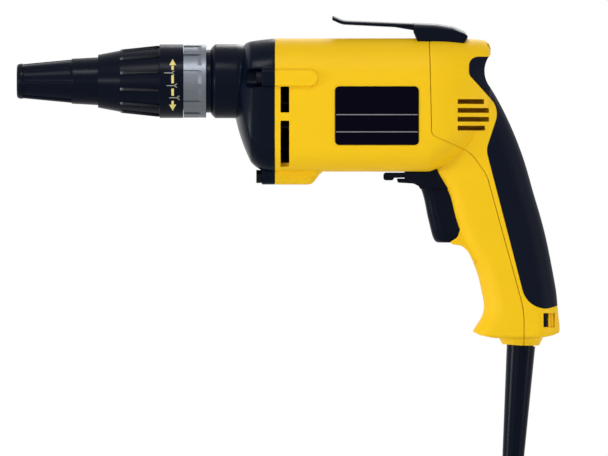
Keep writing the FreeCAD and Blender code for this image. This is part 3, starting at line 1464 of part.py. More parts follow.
def make_housing():
    outer = housing_form("outer", ZERO, ZERO, flange_x)
    core = housing_form("grip_core", size.grip_rubber, size.grip_rubber, flange_x)
    room = housing_form("room", size.housing_wall, size.handle_wall, flange_x - size.cut_overrun)
    labels = make_labels()
    shell = cut("housing_shell", join("housing_solid", outer, *make_bosses()), room)
    whole = join("housing_whole", shell, make_ridges(), make_baffles(outer), *make_bridge(outer))
    skin = cut("grip_skin", outer, core)

    grip = common("grip_finished", skin, behind_line(GRIP_LINE_SHARES, "grip_region"))
    node("rear_grip", grip)

    shared = []
    for y, z in cover_screw_spots:
        shared.append(rod("cover_screw_hole", size.screw_radius + size.seat_gap,
                          size.cap_overhang - part_x + size.cover_screw_grip,
                          part_x - size.cover_screw_grip, y, z))
        shared.append(rod("cover_head_hole", size.screw_head_radius + size.seat_gap,
                          size.cover_screw_inset + 2 * size.screw_head_length, cover_seat_x, y, z))
    shared.append(guard_cut("guard_neck_hole", size.guard_neck_radius, 2 * floor_depth, -floor_depth * 1.5))
    shared.append(guard_cut("guard_flange_seat", size.guard_flange_radius, floor_depth * 2, -floor_depth * 3))
    shared.append(guard_cut("guard_shoulder_seat", size.collar_boss_radius, floor_depth, ZERO))

    front_cuts = []
    vent_x = flange_x + size.front_vent_setback
    for high, low in FRONT_VENT_SHARES:
        for low_y, high_y in ((-2 * size.body_half_width, -size.front_vent_depth),
                              (size.front_vent_depth, 2 * size.body_half_width)):
            front_cuts.append(block("front_vent", (vent_x, low_y, -(size.body_bottom * low)),
                                    (vent_x + size.front_vent_width, high_y, -(size.body_bottom * high))))
    for y, z in screw_places:
        front_cuts.append(rod("housing_screw_hole", size.screw_radius + size.seat_gap,
                              size.screw_reach + size.cut_overrun, flange_x - size.cut_overrun, y, z))
    front_cuts.append(side_slab("trigger_opening", TRIGGER_OPENING_SHARES,
                                size.trigger_half_width + size.sliding_gap))
    front_cuts.append(rod("hook_screw_hole", size.screw_radius + size.seat_gap, size.hook_boss_length * 2,
                          hook_screw_x, ZERO, size.body_top - size.hook_boss_length, axis="z"))
    region = behind_line(PART_LINE_SHARES, "cover_region")
    front = cut("housing_front", whole, region, *labels, *shared, *front_cuts)
    posts = []
    for y, z in clamp_spots:
        post = rod("clamp_post", size.clamp_post_radius, clamp_x - size.seat_gap, size.seat_gap, y, z)
        hole = rod("clamp_post_hole", size.clamp_screw_radius + size.seat_gap,
                   size.clamp_screw_reach + 2 * size.cut_overrun,
                   clamp_x - size.clamp_screw_reach - size.cut_overrun / 2, y, z)
        posts.append(cut("clamp_post_bored", post, hole))
    node("motor_housing", join("motor_housing_finished", front, *posts))

    rear_cuts = []
    start_x = size.heel_reach * REAR_VENT_FRONT_SHARE
    first_z = -(size.handle_drop * REAR_VENT_TOP_SHARE)
    for row, end_share in enumerate(REAR_VENT_ENDS_SHARES):
        high_z = first_z - size.rear_vent_pitch * row
        for low_y, high_y in ((-size.body_half_width, -size.rear_vent_depth),
                              (size.rear_vent_depth, size.body_half_width)):
            rear_cuts.append(block("rear_vent", (start_x, low_y, high_z - size.rear_vent_height),
                                   (size.heel_reach * end_share, high_y, high_z)))
    window = side_slab("heel_window", HEEL_WINDOW_SHARES, size.body_half_width)
    rear_cuts.append(common("heel_recess", skin, window))
    blank = common("cover_blank", whole, behind_line(PART_LINE_SHARES, "cover_region_inner", size.seam_gap))
    node("handle_cover", cut("cover_finished", blank, grip, *shared, *rear_cuts))

    screws = []
    for y, z in cover_screw_spots:
        reach = cover_seat_x - part_x + size.cover_screw_grip
        shank = rod("cover_screw_shank", size.screw_radius, reach, cover_seat_x - reach, y, z)
        top = rod("cover_screw_head", size.screw_head_radius, size.screw_head_length, cover_seat_x, y, z)
        drive = rod("cover_screw_drive", size.screw_recess_radius, size.screw_recess_depth,
                    cover_seat_x + size.screw_head_length - size.screw_recess_depth, y, z)
        screws.append(cut("cover_screw", join("cover_screw_blank", shank, top), drive))
    node("cover_screws", group("cover_screw_pair", *screws))
    make_belt_hook(outer)
    return outer


def guard_cut(label, radius, length, start):
    """A round hole along the cord's leaning axis."""
    body = turned(label, [(start, ZERO, 0), (start, radius + size.seat_gap, 0),
                          (start + length, radius + size.seat_gap, 0), (start + length, ZERO, 0)])
    return leaned(body)


# Belt hook: side-view corners as shares of the base's length and height, and of the blade's
HOOK_BASE_SHARES = ((0.06, -0.32, 0.0), (0.93, -0.32, 0.2), (1.02, 0.13, 0.15), (0.94, 0.46, 0.4),
                    (0.74, 0.76, 1.0), (0.42, 0.93, 1.5), (-0.03, 1.0, 0.0), (-0.03, 0.64, 0.1))
HOOK_LAP_SHARE = 0.1
HOOK_BEND_SHARE = 0.28
# Domed top of the hook: across as a share of the half width, and what is left of the height there
HOOK_DOME_SHARES = ((-1.0, 0.68), (-0.8, 0.91), (0.0, 1.0), (0.8, 0.91), (1.0, 0.68))
BLADE_DOME_SHARE = 1.5


def make_belt_hook(outer):
    length = size.hook_base_length
    height = size.hook_base_height
    top_z = size.body_top + height
    thick = size.hook_blade_thickness
    lap_x = hook_front_x + length * HOOK_LAP_SHARE
    bend_x = hook_front_x - size.hook_blade_length
    bend_z = top_z + size.hook_blade_rise
    tip_x = bend_x - size.hook_tip_length
    tip_z = bend_z + size.hook_tip_rise
    base_sections = []
    blade_sections = []
    for across, left in HOOK_DOME_SHARES:
        base_sections.append((size.hook_base_half_width * across, [
            (hook_front_x + length * along, size.body_top + height * (up * left if up > 0 else up),
             height * corner * left) for along, up, corner in HOOK_BASE_SHARES
        ]))
        drop = thick * BLADE_DOME_SHARE * (1 - left)
        blade_sections.append((size.hook_half_width * across, [
            (lap_x, top_z - thick * HOOK_LAP_SHARE - drop, 0),
            (bend_x, bend_z - drop, size.hook_bend_radius),
            (tip_x, tip_z - drop, thick / 4),
            (tip_x - thick * HOOK_BEND_SHARE, tip_z - thick / 2 - drop, thick / 4),
            (bend_x - thick * HOOK_BEND_SHARE, bend_z - thick, size.hook_bend_radius - thick),
            (hook_front_x - size.hook_blade_length * HOOK_BEND_SHARE, top_z - thick, 2 * thick),
            (lap_x, top_z - 2 * thick, 0),
        ]))
    base = lofted("hook_base", "XZ_Plane", base_sections)
    blade = lofted("hook_blade", "XZ_Plane", blade_sections)
    seat_z = size.body_top + size.hook_saddle
    well = rod("hook_screw_well", size.screw_head_radius + size.seat_gap, height + 2 * size.hook_blade_rise,
               hook_screw_x, ZERO, seat_z, axis="z")
    hole = rod("hook_through_hole", size.screw_radius + size.seat_gap, height * 2,
               hook_screw_x, ZERO, size.body_top - height, axis="z")
    node("belt_hook", cut("hook_finished", join("hook_solid", base, blade), outer, well, hole))
    reach = size.hook_saddle + size.hook_boss_length - size.cut_overrun
    shank = rod("hook_screw_shank", size.screw_radius, reach, hook_screw_x, ZERO, seat_z - reach, axis="z")
    head = rod("hook_screw_head", size.screw_head_radius, size.screw_head_length, hook_screw_x, ZERO, seat_z,
               axis="z")
    drive = rod("hook_screw_drive", size.screw_recess_radius, size.screw_recess_depth, hook_screw_x, ZERO,
                seat_z + size.screw_head_length - size.screw_recess_depth, axis="z")
    node("belt_hook_screw", cut("hook_screw", join("hook_screw_blank", shank, head), drive))


# Trigger, switch and reversing lever

# Levels of the trigger: down, front and half width
TRIGGER_SHARES = ((0.4065, -0.912, 1.0), (0.424, -0.888, 1.0), (0.467, -0.846, 1.0), (0.513, -0.815, 1.0),
                  (0.560, -0.776, 1.0), (0.598, -0.740, 0.98), (0.615, -0.712, 0.92), (0.6235, -0.664, 0.78))
TRIGGER_BACK_SHARE = -0.212
SWITCH_SHARES = ((-0.048, 0.376), (0.349, 0.376), (0.349, 0.614), (-0.048, 0.614))
# Nose of the switch between the lever and the trigger: across, down and rounding
SWITCH_NOSE_SHARES = ((-1.230, 0.376, 0.0), (-1.215, 0.392, 0.05), (-1.000, 0.3955, 0.3),
                      (-0.935, 0.4045, 0.0), (0.100, 0.4045, 0.0), (0.100, 0.376, 0.0))
# Hood of the switch, which closes the gap between the barrel, the lever and the trigger
HOOD_SHARES = ((-1.116, 0.335, 0.0), (-1.130, 0.374, 0.05), (-1.020, 0.387, 0.4), (-0.938, 0.402, 0.3),
               (-0.904, 0.4165, 0.0), (-0.473, 0.4165, 0.0), (-0.473, 0.335, 0.0))
PLUNGER_SHARES = (0.116, 0.505)
LEVER_PIVOT_SHARE = -0.747
LEVER_TIP_SHARE = -1.34


def make_hood(outer, bar_top_z):
    """Cheeks beside the lever and the trigger's top, carried by the switch's nose."""
    half = size.trigger_half_width + size.sliding_gap
    bar_low_z = -(size.handle_drop * SWITCH_NOSE_SHARES[-2][1])
    blank = slab("switch_hood", "XZ_Plane", side_line(HOOD_SHARES), 2 * size.hood_half_width)
    lever_room = block("lever_room", (-2 * size.heel_reach, -half, bar_top_z), (size.heel_reach, half, ZERO))
    trigger_room = block("trigger_room", (-2 * size.heel_reach, -half, -size.handle_drop),
                         (size.heel_reach, half, bar_low_z))
    return cut("switch_hood_finished", blank, outer, lever_room, trigger_room)


def make_controls(outer):
    back_x = size.heel_reach * TRIGGER_BACK_SHARE
    half = size.trigger_half_width
    levels = []
    for down, front, width in TRIGGER_SHARES:
        front_x, z = side(front, down)
        levels.append((z, [(front_x, -half * width, size.trigger_round), (back_x, -half * width, 0),
                           (back_x, half * width, 0), (front_x, half * width, size.trigger_round)]))
    node("trigger", lofted("trigger", "XY_Plane", levels))

    plunger_end_x, plunger_z = side(*PLUNGER_SHARES)
    node("switch_plunger", rod("plunger", size.plunger_radius, plunger_end_x - back_x, back_x, ZERO,
                               plunger_z))
    bar_top_z = -(size.handle_drop * SWITCH_NOSE_SHARES[0][1])
    lever_top_z = -(size.body_bottom + size.lever_drop)
    pivot_x = size.heel_reach * LEVER_PIVOT_SHARE
    pin = rod("lever_pin", size.lever_pin_radius, lever_top_z - bar_top_z, pivot_x, ZERO,
              bar_top_z - size.lever_drop, axis="z")
    bore = rod("plunger_bore", size.plunger_radius + size.sliding_gap,
               plunger_end_x - back_x + size.trigger_travel, back_x, ZERO, plunger_z)
    switch = join("switch_solid", side_slab("switch_block", SWITCH_SHARES, size.switch_half_width),
                  slab("switch_nose", "XZ_Plane", side_line(SWITCH_NOSE_SHARES),
                       2 * size.switch_bar_half_width), pin, make_hood(outer, bar_top_z))
    node("switch_body", cut("switch_finished", switch, bore))

    tip_x = size.heel_reach * LEVER_TIP_SHARE
    tip = size.lever_tip_radius
    hub = size.lever_hub_radius
    paddle = slab("lever_paddle", "XY_Plane", [
        (tip_x, -tip, 0), (pivot_x + hub, -hub, hub / 2), (pivot_x + hub, hub, hub / 2), (tip_x, tip, 0)],
        size.lever_thickness, offset=lever_top_z - size.lever_thickness, midplane=False)
    knob_low_z = lever_top_z - size.lever_thickness - size.lever_knob_drop
    knob = slab("lever_knob", "XZ_Plane", [
        (tip_x - tip, knob_low_z, tip / 2), (tip_x + tip, knob_low_z, tip / 2), (tip_x + tip, lever_top_z, 0),
        (tip_x - tip, lever_top_z, tip / 2)], 2 * tip)
    pin_hole = rod("lever_hole", size.lever_pin_radius + size.running_gap, 2 * size.lever_thickness,
                   pivot_x, ZERO, lever_top_z - size.lever_thickness * 1.5, axis="z")
    node("reverse_lever", cut("lever_finished", join("lever_solid", paddle, knob), pin_hole))

    switch_low_z = -(size.handle_drop * SWITCH_SHARES[-1][1])
    node("suppression_capacitor", block("capacitor", (ZERO, -size.capacitor_width / 2,
                                                      switch_low_z - size.capacitor_length),
                                        (size.capacitor_width, size.capacitor_width / 2, switch_low_z)))


# Mains cord: guard, clamp, a hanging lead, the spare length in a tied coil, and the plug

# Points of the free cord, from the guard's end to the coil and from the coil to the plug
CORD_ROUTE = (
    (15.26, 0.0, -236.37),
    (13.73, 0.0, -258.32),
    (18.40, -1.40, -281.90),
    (30.20, -4.15, -302.90),
    (44.30, -4.15, -317.00),
)
PLUG_ROUTE = (
    (67.59, 4.15, -352.05),
    (73.63, 4.15, -366.87),
    (78.29, 4.15, -384.26),
    (80.64, 4.15, -402.11),
    (80.64, 4.15, -418.10),
)
ROUND_SHARE = 0.45
CLIMB_SHARE = 0.25
SAMPLE_COUNT = 600


def make_cord_entry():
    bore = size.cord_radius + size.seat_gap
    flange_start = -floor_depth - size.guard_flange_length
    guard = turned("cord_guard", [
        (flange_start, bore, 0),
        (flange_start, size.guard_flange_radius, 0),
        (-floor_depth, size.guard_flange_radius, 0),
        (-floor_depth, size.guard_neck_radius, 0),
        (ZERO, size.guard_neck_radius, 0),
        (ZERO, size.guard_root_radius, 0),
        (size.guard_length, size.guard_tip_radius, 0),
        (size.guard_length, bore, 0),
    ])
    node("cord_guard", leaned(guard))
    lead_in = turned("cord_lead_in", rectangle(-size.lead_in_length, size.guard_length,
                                               ZERO, size.cord_radius))
    node("cord_lead_in", leaned(lead_in))

    bar = block("clamp_bar", (clamp_x, -size.clamp_length / 2, clamp_z - size.clamp_width / 2),
                (clamp_x + size.clamp_thickness, size.clamp_length / 2, clamp_z + size.clamp_width / 2))
    holes = []
    screws = []
    seat_x = clamp_x + size.clamp_thickness
    for y, z in clamp_spots:
        holes.append(rod("clamp_hole", size.clamp_screw_radius + size.seat_gap,
                         size.clamp_thickness + 2 * size.cut_overrun, clamp_x - size.cut_overrun, y, z))
        shank = rod("clamp_screw_shank", size.clamp_screw_radius,
                    size.clamp_screw_reach + size.clamp_thickness, clamp_x - size.clamp_screw_reach, y, z)
        top = rod("clamp_screw_head", size.clamp_screw_head_radius, size.clamp_screw_head_length,
                  seat_x, y, z)
        screws.append(join("clamp_screw", shank, top))
    node("cord_clamp", cut("clamp_finished", bar, *holes))
    node("cord_clamp_screws", group("clamp_screw_pair", *screws))


def route_edges(points):
    """Straight runs joined by the largest tangent arcs that the runs allow."""
    places = [Vector(*point) for point in points]
    edges = []
    start = places[0]
    for before, corner, after in zip(places, places[1:], places[2:]):
        half_turn = (before - corner).getAngle(after - corner) / 2
        reach = ROUND_SHARE * min(before.distanceToPoint(corner), corner.distanceToPoint(after))
        radius = reach * math.tan(half_turn)
        first, last, centre = corner_arc(before, corner, after, radius)
        middle = centre + (corner - centre).normalize() * radius
        edges.append(Part.makeLine(start, first))
        edges.append(Part.Arc(first, middle, last).toShape())
        start = last
        print("cord bend radius", round(radius, 1))
    edges.append(Part.makeLine(start, places[-1]))
    return edges


def swept_tube(label, edges, radius):
    """A round tube along a path of lines and arcs."""
    path = Part.Wire(edges)
    start = edges[0].Vertexes[0].Point
    ring = Part.Wire(Part.makeCircle(radius, start, edges[0].tangentAt(edges[0].FirstParameter)))
    made = doc.addObject("Part::Feature", label)
    made.Shape = path.makePipeShell([ring], True, False)
    full = math.pi * radius ** 2 * path.Length
    print(label, "path", round(path.Length, 1), "volume share", round(made.Shape.Volume / full, 5))
    return made


def arc_from(start, heading, end):
    """The arc that leaves a point in one direction and ends at another point."""
    chord = end - start
    along = Vector(chord).normalize()
    side_way = heading - along * heading.dot(along)
    rise = chord.Length / 2 * math.tan(heading.getAngle(along) / 2)
    middle = start + chord / 2 + side_way.normalize() * rise
    return Part.Arc(start, middle, end).toShape()


def biarc(start, heading, end, last_heading):
    """Two arcs that join two points and meet smoothly."""
    chord = end - start
    spread = 2 * (1 - heading.dot(last_heading))
    along = chord.dot(heading + last_heading)
    reach = (math.sqrt(along ** 2 + spread * chord.dot(chord)) - along) / spread
    joint = (start + end + (heading - last_heading) * reach) / 2
    back = arc_from(end, -last_heading, joint)
    return [arc_from(start, heading, joint), back]


class Coil:
    """Two flat layers of turns that spiral in and out again, hung from the end of the lead."""

    def __init__(self, route):
        self.half_turns = size.coil_turns.value / 2
        self.pitch = size.coil_pitch.value
        self.inner_radius = size.coil_mean_radius.value - self.pitch * self.half_turns / 2
        self.tail = 2 * size.cord_radius.value
        end = Vector(*route[-1])
        self.way_in = (end - Vector(*route[-2])).normalize()
        self.turn = FreeCAD.Rotation(self.local_heading(-self.half_turns), self.way_in)
        self.start = end
        self.centre = end + self.way_in * self.tail - self.turn.multVec(self.local_spot(-self.half_turns))

    def local_spot(self, turns):
        reach = abs(turns)
        climb = min(1.0, max(0.0, (turns + CLIMB_SHARE) / (2 * CLIMB_SHARE)))
        if reach < CLIMB_SHARE:
            reach = turns ** 2 / (2 * CLIMB_SHARE) + CLIMB_SHARE / 2
        radius = self.inner_radius + self.pitch * reach
        rise = self.pitch * (climb * climb * (3 - 2 * climb) - 1 / 2)
        angle = -2 * math.pi * turns
        return Vector(radius * math.cos(angle), rise, radius * math.sin(angle))

    def local_heading(self, turns):
        step = CLIMB_SHARE / SAMPLE_COUNT
        return (self.local_spot(turns + step) - self.local_spot(turns - step)).normalize()

    def edges(self):
        count = math.ceil(4 * size.coil_turns.value)
        turns = [self.half_turns * (2 * index / count - 1) for index in range(count + 1)]
        spots = [self.centre + self.turn.multVec(self.local_spot(turn)) for turn in turns]
        headings = [self.turn.multVec(self.local_heading(turn)) for turn in turns]
        made = [Part.makeLine(self.start, spots[0])]
        for index in range(count):
            made += biarc(spots[index], headings[index], spots[index + 1], headings[index + 1])
        self.end = spots[-1] + headings[-1] * self.tail
        made.append(Part.makeLine(spots[-1], self.end))
        return made


def least_gap(edges, radius):
    """Smallest gap between turns, from points along the path that are well apart."""
    path = Part.Wire(edges)
    spots = path.discretize(Number=SAMPLE_COUNT)
    apart = math.ceil(8 * radius / (path.Length / SAMPLE_COUNT))
    gaps = [spots[i].distanceToPoint(spots[j]) - 2 * radius
            for i in range(len(spots)) for j in range(i + apart, len(spots))]
    return min(gaps)


def make_cord():
    radius = size.cord_radius.value
    node("power_cord", swept_tube("cord_tube", route_edges(CORD_ROUTE), radius))
    coil = Coil(CORD_ROUTE)
    turns = Part.__sortEdges__(coil.edges())
    node("cord_coil", swept_tube("coil_tube", turns, radius))
    print("coil least gap", round(least_gap(turns, radius), 2), "centre", coil.centre, "end", coil.end)
    node("plug_lead", swept_tube("plug_tube", route_edges(PLUG_ROUTE), radius))

    low = coil.inner_radius + coil.pitch * CLIMB_SHARE / 2
    high = coil.inner_radius + coil.pitch * coil.half_turns
    reach = size.coil_pitch / 2 + size.cord_radius + size.tie_gap

    def tie_box(label, half, wall):
        room = size.cord_radius + size.tie_gap + wall
        middle_x = as_size(coil.centre.x)
        return block(label, (middle_x - half, -reach - wall, as_size(coil.centre.z + low) - room),
                     (middle_x + half, reach + wall, as_size(coil.centre.z + high) + room))
    band = tie_box("tie_outer", size.tie_width / 2, size.tie_thickness)
    node("cord_tie", cut("tie_band", band, tie_box("tie_inner", size.tie_width, ZERO)))


# Plug: width and depth of its sections, as shares
PLUG_SHARES = ((0.0, 0.42, 0.80), (0.3, 0.86, 0.96), (0.6, 1.0, 1.0), (1.0, 0.96, 1.0))
PLUG_CORNER_SHARE = 0.36
PIN_TIP_SHARE = 0.6


def make_plug():
    x, y, top_z = [as_size(number) for number in PLUG_ROUTE[-1]]
    body_z = top_z - size.plug_sleeve_length
    sleeve = cone("plug_sleeve", size.plug_sleeve_radius, size.plug_sleeve_tip_radius,
                  size.plug_sleeve_length, x, y, body_z, axis="z")
    sections = []
    for along, width, depth in PLUG_SHARES:
        half_x = size.plug_width * width / 2
        half_y = size.plug_depth * depth / 2
        sections.append((body_z - size.plug_length * along, rectangle(
            x - half_x, x + half_x, y - half_y, y + half_y, size.plug_depth * PLUG_CORNER_SHARE)))
    node("plug_body", join("plug_solid", sleeve, lofted("plug_block", "XY_Plane", sections)))

    pins = []
    face_z = body_z - size.plug_length
    tip = size.plug_pin_radius * PIN_TIP_SHARE
    for sign in (-1, 1):
        pin_x = x + sign * size.plug_pin_spread / 2
        straight = rod("pin_rod", size.plug_pin_radius, size.plug_pin_length - tip, pin_x, y,
                       face_z - size.plug_pin_length + tip, axis="z")
        point = cone("pin_tip", tip, size.plug_pin_radius, tip, pin_x, y,
                     face_z - size.plug_pin_length, axis="z")
        pins.append(join("plug_pin", straight, point))
    node("plug_pins", group("plug_pin_pair", *pins))


make_nose_locator()
make_depth_collar()
make_nosepiece()
make_spindle()
make_bit()
make_drive_gear()
make_gear_case()
make_bearing_plate()
make_armature()
make_stator()
make_brushes()
housing_outer = make_housing()
make_controls(housing_outer)
make_cord_entry()
make_cord()
make_plug()

doc.recompute()
for obj in doc.Objects:
    if "Invalid" in obj.State or "Error" in obj.State:
        raise RuntimeError(f"{obj.Label} did not build: {obj.State}")
for obj in nodes:
    if obj.Shape.isNull() or not obj.Shape.isValid():
        raise RuntimeError(f"{obj.Label} has no sound shape")

os.makedirs("parts", exist_ok=True)
for obj in nodes:
    obj.Shape.exportStep(f"parts/{obj.Label}.step")
print(len(nodes), "pieces")
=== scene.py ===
# %% [markdown]
# # A corded drywall screwdriver, dressed for its portrait
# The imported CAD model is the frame: every solid already sits where it belongs, in metres.
# The scene only adds what CAD leaves out: finishes, prints, the soft cord and studio light.

# %% Empty the scene and load the frame
import json
import math

import bpy
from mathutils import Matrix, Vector

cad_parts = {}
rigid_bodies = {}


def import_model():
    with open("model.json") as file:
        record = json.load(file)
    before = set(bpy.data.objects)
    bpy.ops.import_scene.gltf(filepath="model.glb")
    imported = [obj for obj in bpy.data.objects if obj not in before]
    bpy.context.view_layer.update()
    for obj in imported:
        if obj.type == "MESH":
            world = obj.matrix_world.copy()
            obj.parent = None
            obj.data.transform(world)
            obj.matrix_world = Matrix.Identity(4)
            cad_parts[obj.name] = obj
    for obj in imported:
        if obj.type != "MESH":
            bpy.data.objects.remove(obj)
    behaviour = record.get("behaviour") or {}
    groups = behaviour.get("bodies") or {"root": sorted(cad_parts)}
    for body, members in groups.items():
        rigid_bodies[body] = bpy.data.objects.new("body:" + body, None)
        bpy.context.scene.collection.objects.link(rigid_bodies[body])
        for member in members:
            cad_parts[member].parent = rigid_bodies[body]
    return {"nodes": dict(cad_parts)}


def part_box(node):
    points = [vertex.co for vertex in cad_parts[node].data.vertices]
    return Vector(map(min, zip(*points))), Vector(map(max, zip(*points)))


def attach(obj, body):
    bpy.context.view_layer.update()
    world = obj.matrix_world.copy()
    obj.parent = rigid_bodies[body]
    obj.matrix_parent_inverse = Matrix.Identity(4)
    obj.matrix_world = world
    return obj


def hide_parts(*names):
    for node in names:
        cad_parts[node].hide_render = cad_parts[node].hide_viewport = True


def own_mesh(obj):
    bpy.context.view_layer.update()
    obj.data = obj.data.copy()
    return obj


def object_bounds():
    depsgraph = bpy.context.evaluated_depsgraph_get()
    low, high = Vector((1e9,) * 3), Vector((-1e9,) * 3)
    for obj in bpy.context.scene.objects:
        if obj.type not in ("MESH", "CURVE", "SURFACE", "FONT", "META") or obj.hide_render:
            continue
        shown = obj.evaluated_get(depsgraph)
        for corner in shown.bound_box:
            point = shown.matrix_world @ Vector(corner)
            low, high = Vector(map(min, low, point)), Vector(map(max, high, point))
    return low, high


for left_over in list(bpy.data.objects):
    bpy.data.objects.remove(left_over)
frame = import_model()
cad_low, cad_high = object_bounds()
nodes = frame["nodes"]
MM = 0.001
print("nodes loaded:", len(nodes))

# %% [markdown]
# ## Camera
# The photograph is a straight side view, taken from far away: round parts show no perspective.
# A long lens on the tool's middle plane repeats that. One photograph pixel is 0.6 mm there, so
# the lens and the distance follow from the width of the picture.

# %% Place the camera
PHOTO_PIXELS = (608, 456)
PIXEL = 0.6 * MM
SPINDLE_PIXEL = (486.5, 81.2)
LENS_MM = 1000
SENSOR_MM = 36


def from_photo(across, down):
    """X and Z, in metres, of a pixel of the photograph."""
    return (across - SPINDLE_PIXEL[0]) * PIXEL, (SPINDLE_PIXEL[1] - down) * PIXEL


middle_x, middle_z = from_photo(PHOTO_PIXELS[0] / 2, PHOTO_PIXELS[1] / 2)
camera_distance = PHOTO_PIXELS[0] * PIXEL * LENS_MM / SENSOR_MM
bpy.ops.object.camera_add(location=(middle_x, -camera_distance, middle_z),
                          rotation=(math.pi / 2, 0, 0))
camera = bpy.context.object
camera.data.lens = LENS_MM
camera.data.sensor_width = SENSOR_MM
bpy.context.scene.camera = camera
bpy.context.scene.view_settings.view_transform = "Standard"
print("camera stands back", round(camera_distance, 2), "m")

# %% [markdown]
# ## Floor and light
# The background is white because the world is white where the camera or a reflection looks at
# it. The light on the tool is a separate, plain amount: a soft world, a lamp above the camera, a
# small one to its left for the nose, one far out on each side for the edges and one behind.
# Each lamp has its place in metres, its width in metres and its power in watts.

# %% Build the stage
FLOOR_REACH = 3.0
FLOOR_DROP = 0.5 * MM
WORLD_LIGHT = 0.38
bpy.ops.mesh.primitive_plane_add(size=2 * FLOOR_REACH, location=(0, 0, cad_low.z - FLOOR_DROP))
floor = bpy.context.object
floor.name = "studio_floor"


def looked_at(tree):
    """A socket that is 1 where the camera, a reflection or a clear piece looks straight at it."""
    rays = tree.nodes.new("ShaderNodeLightPath")
    seen = rays.outputs["Is Camera Ray"]
    for name in ("Is Glossy Ray", "Is Transmission Ray"):
        either = tree.nodes.new("ShaderNodeMath")
        either.operation = "MAXIMUM"
        tree.links.new(seen, either.inputs[0])
        tree.links.new(rays.outputs[name], either.inputs[1])
        seen = either.outputs[0]
    return seen


world = bpy.data.worlds.new("studio_world")
bpy.context.scene.world = world
world.use_nodes = True
world_nodes = world.node_tree.nodes
world_links = world.node_tree.links
strength = world_nodes.new("ShaderNodeMapRange")
strength.inputs["To Min"].default_value = WORLD_LIGHT
strength.inputs["To Max"].default_value = 1.0
world_links.new(looked_at(world.node_tree), strength.inputs["Value"])
world_links.new(strength.outputs["Result"], world_nodes["Background"].inputs["Strength"])
world_nodes["Background"].inputs["Color"].default_value = (1, 1, 1, 1)

LAMPS = {
    "lamp_above": ((-0.35, -1.0, 1.1), 0.3, 6.5),
    "lamp_front": ((-0.75, -1.3, 0.05), 0.2, 2.6),
    "lamp_left": ((-1.35, -0.45, -0.1), 0.3, 5.5),
    "lamp_right": ((1.3, -0.4, -0.1), 0.3, 4.5),
    "lamp_behind": ((0.2, 1.3, 0.9), 0.8, 9.0),
}
tool_middle = Vector((middle_x, 0, middle_z / 2))
for name, (spot, size, watts) in LAMPS.items():
    way = tool_middle - Vector(spot)
    bpy.ops.object.light_add(type="AREA", location=spot,
                             rotation=way.to_track_quat("-Z", "Y").to_euler())
    lamp = bpy.context.object
    lamp.name = name
    lamp.data.size = size
    lamp.data.energy = watts
print("lamps:", len(LAMPS))

# %% [markdown]
# ## A small language for finishes
# Every finish is a node tree on one principled shader. `Finish` makes the tree, and `Amount`
# wraps a socket so that sums of sockets read like sums of numbers.

# %% Finish maker


class Amount:
    """A socket that can stand in a sum."""

    def __init__(self, finish, socket):
        self.finish = finish
        self.socket = socket

    def sum(self, kind, first, second):
        return self.finish.add("ShaderNodeMath", {"operation": kind}, {0: first, 1: second})

    def __add__(self, other):
        return self.sum("ADD", self, other)

    def __rsub__(self, other):
        return self.sum("SUBTRACT", other, self)

    def __mul__(self, other):
        return self.sum("MULTIPLY", self, other)


def linear(red, green, blue):
    """A colour as seen on screen, 0 to 255, in the renderer's linear values."""
    shares = [part / 255 for part in (red, green, blue)]
    return tuple(s / 12.92 if s <= 0.04045 else ((s + 0.055) / 1.055) ** 2.4 for s in shares) + (1,)


class Finish:
    """A material with one principled shader, made node by node."""

    def __init__(self, name, colour, rough, metal=0.0, level=0.5):
        self.material = bpy.data.materials.new(name)
        self.material.use_nodes = True
        self.tree = self.material.node_tree
        self.shader = self.tree.nodes["Principled BSDF"]
        self.colour = linear(*colour)
        self.put("Base Color", self.colour)
        self.put("Roughness", rough)
        self.put("Metallic", metal)
        self.put("Specular IOR Level", level)
        self.place = self.add("ShaderNodeTexCoord", output="Object")

    def put(self, name, value):
        """Set or link one socket of the shader."""
        socket = self.shader.inputs[name]
        if isinstance(value, Amount):
            self.tree.links.new(value.socket, socket)
        else:
            socket.default_value = value

    def add(self, kind, settings=None, sockets=None, output=0):
        """One node of any kind: its settings first, then its sockets' values or links."""
        made = self.tree.nodes.new(kind)
        for name, value in (settings or {}).items():
            setattr(made, name, value)
        for name, value in (sockets or {}).items():
            if isinstance(value, Amount):
                self.tree.links.new(value.socket, made.inputs[name])
            else:
                made.inputs[name].default_value = value
        return Amount(self, made.outputs[output])

    def noise(self, size, detail=2.0):
        """Soft random spots of about this size in metres, 0 to 1."""
        return self.add("ShaderNodeTexNoise", {}, {
            "Vector": self.place, "Scale": 1 / size, "Detail": detail})

    def cells(self, size):
        """Distance from scattered grains of about this size in metres."""
        return self.add("ShaderNodeTexVoronoi", {}, {"Vector": self.place, "Scale": 1 / size})

    def tint(self, share, colour):
        """Shade the base colour towards another one where share is high."""
        self.put("Base Color", self.add("ShaderNodeMix", {"data_type": "RGBA"}, {
            0: share, 6: self.colour, 7: linear(*colour)}, output=2))

    def raise_by(self, height, depth, strength):
        """Bump the surface: height 0 to 1 stands for depth in metres."""
        self.put("Normal", self.add("ShaderNodeBump", {}, {
            "Height": height, "Distance": depth, "Strength": strength}))


# %% [markdown]
# ## Plastics, paint and rubber
# The housing is glass-filled nylon from a spark-eroded mould: a fine even grain, never glossy.
# The nose is the same plastic in a bluish charcoal, the gear case is a painted casting with a
# slight orange peel, and the grip is soft rubber with a coarser, duller stipple.

